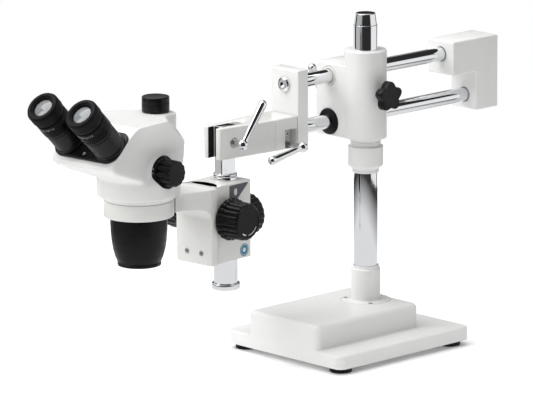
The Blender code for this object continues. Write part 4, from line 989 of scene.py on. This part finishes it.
def make_housing():
    barrel, slope = 54.8, -PLATE_PLANE
    stations = [(270.0, 52.8, -52.8, 52.8, 52.7, 52.7), (287.0, 54.7, -54.7, 54.7, 54.6, 54.6),
                (290.0, 55.3, -59.5, 55.3, 50.0, 55.2), (294.0, 56.0, -68.0, 56.0, 44.0, 55.0),
                (299.0, 56.8, -80.0, 56.6, 38.0, 55.0), (304.0, 57.6, -92.5, 57.0, 31.0, 55.0),
                (310.0, 58.5, -104.5, 57.5, 22.0, 55.0), (314.0, 59.0, -109.0, 57.5, 18.0, 55.0),
                (318.0, 59.3, 318.0 + slope, 57.5, 14.0, 55.0),
                (326.0, 59.5, 326.0 + slope, 57.5, 7.0, 55.0),
                (356.0, 59.5, 356.0 + slope, 57.5, 6.0, 55.0),
                (362.0, 59.0, 362.0 + slope, 57.3, 5.5, 54.5), (HOUSING_TOP, 56.5, -60.5, 55.0, 4.0, 52.0)]
    shell = mesh_object("head_shell", loft([head_section(*row) for row in flowing(stations, 3.0)]), HEAD)
    for side, lay in ((1, ALONG_X), (-1, ALONG_MINUS_X)):
        dish = turned([polar(1.0, a - 90.0) for a in range(2, 92, 3)], 0.0, 160)
        bmesh.ops.scale(dish, vec=(81.0, 131.0, 40.0), verts=dish.verts)
        combine(shell, dish, HEAD @ at(side * 81.0, -8.0, 304.0) @ lay)
        combine(shell, fall_away(side), HEAD)
        rim = turned([(23.2, 30.0), (23.2, 43.6)], 1.0, 96)
        combine(shell, rim, HEAD @ at(0.0, 0.0, ZOOM_Z) @ lay, "UNION")
    shoulder = turned([(barrel, 261.5), (barrel, 284.0), (49.0, 291.5), (40.0, 294.0)], [0, 5.0, 4.0, 0],
                      128)
    combine(shell, shoulder, HEAD, "UNION")
    remesh = shell.modifiers.new("even", "REMESH")
    remesh.mode = "VOXEL"
    remesh.voxel_size = 1.2 * MM
    settle(shell)
    relaxed(shell, 4)
    relaxed(shell, 40, 277.0, 328.0)
    neck = turned([(37.9, 233.5), (37.9, 255.2), (46.0, 255.2), (46.0, 260.2), (54.0, 261.3),
                   (54.0, 263.0)], 0.0, 128)
    combine(shell, neck, HEAD, "UNION")
    wall = 4.0
    bed = slope + 1.42 * wall
    hollow = [head_section(z, *rest) for z, *rest in (
        (230.0, 31.0, -31.0, 31.0, 30.9, 30.9), (264.0, 31.0, -31.0, 31.0, 30.9, 30.9),
        (268.0, 35.5, -35.5, 35.5, 35.4, 35.4), (292.0, 35.5, -35.5, 35.5, 35.4, 35.4),
        (312.0, 35.5, -92.0, 46.0, 16.0, 34.0), (325.0, 35.5, 325.0 + bed, 44.0, 14.0, 34.0),
        (340.0, 35.5, 340.0 + bed, 34.0, 13.0, 34.0), (354.0, 35.5, 354.0 + bed, 20.0, 12.0, 34.0),
        (HOUSING_TOP - wall, 34.0, -58.0, 12.0, 10.0, 32.0))]
    combine(shell, loft(hollow), HEAD)
    room = rounded(rectangle(21.0, 26.0, (0.0, 18.0)), 12.0, 6)
    combine(shell, upright(room, 300.0, HOUSING_TOP - wall), HEAD)
    for lay in (ALONG_X, ALONG_MINUS_X):
        axis = HEAD @ at(0.0, 0.0, ZOOM_Z) @ lay
        combine(shell, turned([(20.6, 39.4), (20.6, 42.2), (21.4, 44.0), (21.4, 80.0)]), axis)
        drill(shell, ZOOM_SHAFT_HOLE, 30.0, 62.0, axis, 40)
    window = upright(rounded(rectangle(38.0, 15.0), 8.0, 6), -15.0, 6.0)
    combine(shell, window, on_plate(0.0, EYE_REACH))
    drill(shell, 10.0, -12.0, 6.0, HEAD @ at(0.0, PORT_Y, HOUSING_TOP), 64)
    finish_piece(shell, "painted_white", "head", ["head_housing"], crease=38.0)


def make_faceplate():
    low, high = 154.6, 203.0
    half_y = (high - low) / 2
    outline = rounded(rectangle(56.0, half_y), [13.0, 13.0, 19.0, 19.0], 10)
    place = on_plate(0.0, (low + high) / 2)
    plate = mesh_object("eyepiece_plate", soft_block(outline, 0.3, PLATE_LIFT, 1.2, 4, 0.3), place)
    for side in (-1, 1):
        seat = on_plate(side * EYE_HALF_SPACING, EYE_REACH)
        drill(plate, 15.5, -3.0, 8.0, seat, 72)
    screw = on_plate(0.0, 162.5, PLATE_LIFT - 1.1)
    drill(plate, 2.5, 0.0, 3.0, screw, 40)
    finish_piece(plate, "black_satin", "head", ["faceplate"], crease=30.0)
    socket_screw("plate_screw", screw @ at(0.0, 0.0, 0.05), "head", 2.2, 1.5, 1.0, 0.4)


def make_eyepieces():
    for name, side in (("right", 1), ("left", -1)):
        seat = on_plate(side * EYE_HALF_SPACING, EYE_REACH, PLATE_LIFT)
        body = "eyetube_" + name
        profile = [(14.6, 0.3), (22.6, 0.3), (22.6, 3.0), (21.0, 3.0), (21.0, 30.6), (20.3, 30.9),
                   (20.3, 32.0), (21.0, 32.2), (21.0, 32.7), (14.6, 32.7)]
        radii = [0, 0.3, 0.9, 0.8, 0.3, 0.2, 0.2, 0.2, 0.2, 0.3]
        piece(body + "_barrel", turned(profile, radii, 112, True), seat, "black_metal", body, [body])

        inner = 14.5
        outline, radii = [(inner, 33.0), (21.9, 33.0)], [0.0, 0.5]
        for z in (36.2, 38.6, 41.0, 43.4):
            outline += [(21.9, z), (20.9, z + 0.3), (20.9, z + 0.9), (21.9, z + 1.2)]
            radii += [0.15, 0.15, 0.15, 0.15]
        outline += [(21.9, 45.7), (inner, 45.7)]
        radii += [0.4, 0.0]
        ring = turned(outline, radii, 112, True)
        node = "diopter_ring_" + name
        piece(node + "_grip", ring, seat, "black_satin", "diopter_" + name, [node])
        ticks = bmesh.new()
        for count in range(-6, 7):
            length = 3.4 if count % 3 == 0 else 2.0
            outline = rectangle(0.16, length / 2, (0.0, 51.0 - length / 2))
            around = spun(-90.0 + 7.0 * count, "Z")
            loft([[around @ Vector((x, dy, z)) for dy, z in outline] for x in (21.62, 21.90)], bm=ticks)
        piece("dioptre_scale_" + name, ticks, seat, "print", body)

        rim = 74.6
        profile = [(11.0, 18.7), (14.2, 18.7), (14.2, 46.0), (21.8, 46.0), (21.8, 54.2), (20.2, 54.8),
                   (20.2, 56.4), (22.0, 57.0), (22.7, 60.0), (22.7, rim - 3.2), (20.9, rim), (16.6, rim),
                   (15.6, rim - 1.6), (14.4, rim - 2.2), (13.6, rim - 6.0), (11.0, rim - 6.0)]
        radii = [0, 0, 0, 0.4, 0.4, 0.3, 0.3, 0.6, 1.5, 1.8, 0.9, 0.5, 0.5, 0.5, 0.2, 0]
        node = "eyepiece_" + name
        piece(node + "_cup", turned(profile, radii, 112, True), seat, "black_rubber", body, [node])
        crown = [(13.2, rim - 5.8), (13.2, rim - 5.0)] + dome(13.2, rim - 5.0, 2.4, range(10, 86, 8))
        node = "eye_lens_" + name
        piece(node + "_glass", turned(crown), seat, "eye_glass", body, [node], 60.0)


def make_objective():
    top = 232.7
    outer = [(37.7, top), (37.5, 224.0), (36.9, 210.0), (35.9, 199.5), (34.2, 188.5), (31.6, 179.0),
             (28.9, 172.6), (28.0, 171.4), (28.8, 170.6), (28.6, 167.0)]
    inner = [(24.0, 167.0), (24.0, 177.0), (31.0, 190.0), (34.0, 210.0), (34.0, top)]
    radii = [0.5, 8, 10, 10, 10, 10, 2, 0.3, 0.4, 0.7, 0.5, 0, 0, 0, 0]
    shell = turned(outer + inner, radii, 144, True)
    piece("objective_barrel", shell, HEAD, "black_plastic", "head", ["objective_shell"])
    profile = [(23.7, 175.0), (23.7, 171.0)] + dome(23.7, 171.0, -2.6, range(8, 88, 8))
    glass = turned(list(reversed(profile)))
    piece("objective_glass", glass, HEAD, "glass", "head", ["objective_lens"], crease=60.0)


def make_zoom():
    low, high = 40.0, 68.4
    profile = [(18.0, low, 0), (19.2, low + 0.4, 0), (19.6, low + 1.3, 0), (19.5, low + 6.6, 0),
               (19.0, low + 7.3, 0), (17.2, low + 7.7, 0.0), (17.0, low + 8.3, 1.0), (17.8, low + 9.6, 1.0),
               (17.3, high - 2.2, 1.0), (16.9, high - 0.9, 0.9), (16.0, high - 0.15, 0.45), (15.0, high, 0),
               (2.0, high - 0.1, 0)]
    for side_name, side, lay in SIDES:
        node = "zoom_knob_" + side_name
        place = HEAD @ at(0.0, 0.0, ZOOM_Z) @ lay
        knob = mesh_object(node + "_grip", ribbed(profile, 12, 1.9, 0.3, 16), place)
        drill(knob, ZOOM_SHAFT_HOLE, low - 2.0, low + 7.4, place)
        finish_piece(knob, "black_plastic", "zoom", [node])
        for count, lift in enumerate((3.0, 19.0)):
            dot = turned([(0.8, 0.0), (0.65, 0.3)], 0.0, 24)
            outward = spun(-90.0 - side * lift, "Z") @ at(19.45, 0.0, low + 3.6) @ ALONG_X
            piece("%s_dot_%d" % (node, count), dot, place @ outward, "print", "zoom")


def make_port():
    place = HEAD @ at(0.0, PORT_Y, HOUSING_TOP)
    profile = [(11.0, 0.3), (14.0, 0.3), (14.0, 14.0), (11.0, 14.0)]
    piece("port_tube", turned(profile, [0, 0.3, 0.5, 0.5], 96, True), place, "chrome", "head",
          ["photo_port"])
    low, high, radius, bore = 1.3, 21.0, 18.2, 14.3
    profile = [(bore, low), (radius, low), (radius, 12.6), (radius - 0.35, 12.9), (radius - 0.35, 13.5),
               (radius, 13.8), (radius, high), (0.1, high), (0.1, high - 3.0), (bore, high - 3.0)]
    cap = turned(profile, [0.4, 0.8, 0.2, 0.1, 0.1, 0.2, 1.6, 0, 0, 0], 112, True)
    piece("port_dust_cap", cap, place, "black_plastic", "port_cap", ["port_cap"])


# ---------------------------------------------------------------- carried-over parts and studio

def finish_carried_parts():
    """Parts whose CAD shape is right keep it, and get the finish of their material slot."""
    slots = {entry["node"]: entry["material_slot"] for entry in frame["record"]["subparts"]}
    for node, obj in frame["nodes"].items():
        obj.data.materials.clear()
        obj.data.materials.append(FINISHES[slots[node]])


def area_light(name, location, target, size, power):
    lamp = bpy.data.lights.new(name, "AREA")
    lamp.shape = "RECTANGLE"
    lamp.size = size
    lamp.size_y = size
    lamp.energy = power
    obj = bpy.data.objects.new(name, lamp)
    bpy.context.scene.collection.objects.link(obj)
    obj.location = location
    obj.rotation_euler = (Vector(target) - Vector(location)).to_track_quat("-Z", "Y").to_euler()


def make_studio():
    floor = mesh_object("floor", turned([(1400.0, -0.2), (1400.0, 0.0)], 0.0, 128), Matrix.Identity(4))
    paper = Finish("studio paper")
    fibre = paper.noise(300.0, 3.0)
    tone = paper.ramp(fibre, ((0.3, (0.97, 0.97, 0.97)), (0.7, (0.99, 0.99, 0.99))))
    floor.data.materials.append(paper.finished(tone, paper.spread(fibre, 0.8, 0.95)))
    # Polished metal does not see the paper; it sees the glowing card of the painted floor reflection
    # instead.
    floor.visible_glossy = False
    make_painted_floor_reflection()
    make_room()
    target = (-0.03, -0.05, 0.25)
    area_light("key", (-1.6, -2.6, 2.2), target, 1.6, 30.0)
    area_light("top", (-0.7, -0.9, 2.8), target, 2.2, 46.0)
    bpy.context.scene.view_settings.view_transform = "Standard"


def make_painted_floor_reflection():
    """A painted reflection: a glowing card, seen only in polished metal, stands in for the paper below it,
    white near the stand and fading outward.
    """
    card = mesh_object("painted_floor_reflection", turned([(1100.0, 0.2), (1100.0, 0.3)]), Matrix.Identity(4))
    material = bpy.data.materials.new("painted floor reflection")
    glow = Graph(material)
    glow.tree.nodes.clear()
    place = glow.node("TexCoord").outputs["Object"]
    reach = glow.node("VectorMath", (("operation", "LENGTH"),), ((0, place),)).outputs["Value"]
    shine = glow.node("Emission", Strength=glow.spread(reach, 0.85, 0.04, 0.60, 1.0))
    glow.node("OutputMaterial", Surface=shine.outputs["Emission"])
    card.data.materials.append(material)
    for ray in ("camera", "diffuse", "transmission", "shadow"):
        setattr(card, "visible_" + ray, False)


def make_room():
    """A white room with dark panels that only shiny surfaces pick up as stripes."""
    world = bpy.data.worlds.new("studio")
    bpy.context.scene.world = world
    room = Graph(world)
    room.tree.nodes.clear()
    place = room.node("SeparateXYZ", Vector=room.node("TexCoord").outputs["Generated"]).outputs
    turn = room.node("Math", (("operation", "ARCTAN2"),), ((0, place["Y"]), (1, place["X"])))
    angle = room.spread(turn.outputs["Value"], 0.0, 1.0, -math.pi, math.pi)
    dark, grey, white = 0.03, 0.5, (1.0, 1.0, 1.0, 1.0)

    def around(*stops):
        """Shades of grey by compass angle, from (degrees, grey) stops."""
        return room.ramp(angle, [((degrees + 180.0) / 360.0, (tone, tone, tone)) for degrees, tone in stops])

    def by_height(low, high, below, above):
        """One colour below a height of the sky, another above it."""
        return room.mixed(room.spread(place["Z"], 0.0, 1.0, low, high), below, above)

    def background(colour, strength):
        return room.node("Background", Color=colour, Strength=strength).outputs["Background"]

    walls = around((-180, 1.0), (-176, 1.0), (-170, dark), (-152, dark), (-146, 0.6), (-90, grey),
                   (-76, dark), (6, dark), (12, 1.0), (80, 1.0), (86, 0.1), (98, 0.1), (104, 1.0),
                   (122, 1.0), (127, dark), (150, dark), (156, 1.0), (180, 1.0))
    upper_walls = around((-180, 1.0), (-146, 0.8), (-90, grey), (-76, dark), (6, dark), (14, 1.0),
                         (38, 1.0), (46, dark), (125, dark), (134, 1.0), (180, 1.0))
    panels = by_height(0.25, 0.35, walls, upper_walls)
    mirror = by_height(0.84, 0.92, panels, white)
    daylight = around((-180, 0.60), (-120, 0.85), (-60, 0.70), (-20, 0.28), (20, 0.06), (80, 0.01),
                      (140, 0.01), (180, 0.60))
    daylight = by_height(0.55, 0.95, daylight, (1.75, 1.75, 1.75, 1.0))
    daylight = by_height(-0.08, 0.0, (0.20, 0.20, 0.20, 1.0), daylight)
    rays = room.node("LightPath").outputs
    glow, shine = background(daylight, 0.92), background(mirror, 0.95)
    lit = room.node("MixShader", (), ((1, glow), (2, shine)), Fac=rays["Is Glossy Ray"]).outputs["Shader"]
    seen = room.node("MixShader", (), ((1, lit), (2, background(white, 1.0))), Fac=rays["Is Camera Ray"])
    room.node("OutputWorld", Surface=seen.outputs["Shader"])


def make_camera():
    azimuth, elevation, roll = 46.345, 12.610, -0.2716
    position = (4.854739, -4.683063, 1.727236)
    sensor, view_width, view_distance = 36.0, 533.0, 5188.3
    data = bpy.data.cameras.new("camera")
    data.sensor_width = sensor
    data.lens = view_distance * sensor / view_width
    data.clip_end = 50.0
    camera = bpy.data.objects.new("camera", data)
    bpy.context.scene.collection.objects.link(camera)
    place = Matrix.Translation(position)
    for angle, axis in ((azimuth, "Z"), (90.0 - elevation, "X"), (roll, "Z")):
        place = place @ spun(angle, axis)
    camera.matrix_world = place
    bpy.context.scene.camera = camera


finish_carried_parts()
make_base()
make_feet()
make_column()
make_collar()
make_carriage()
make_star_knob()
make_boom()
make_arm()
make_lever("boom_lock", ["boom_lock_lever", "boom_lock_stud"], (0.0, 330.0), -70.0, -84.0, 24.5, 49.5, -1)
make_lever("arm_lock", ["arm_lock_lever", "arm_lock_stud"], (-123.5, 289.5), -31.0, 6.0, 100.0, 63.0)
make_lever("tilt_lock", ["tilt_lever", "tilt_stud"], (POST_POS[1], TILT_Z), -28.0, -9.5, -36.5, 67.0,
           through=-62.9)
make_post()
make_holder()
make_post_clamp()
make_focus_knobs()
make_slide()
make_ring_arm()
make_housing()
make_faceplate()
make_eyepieces()
make_objective()
make_zoom()
make_port()
make_studio()
make_camera()
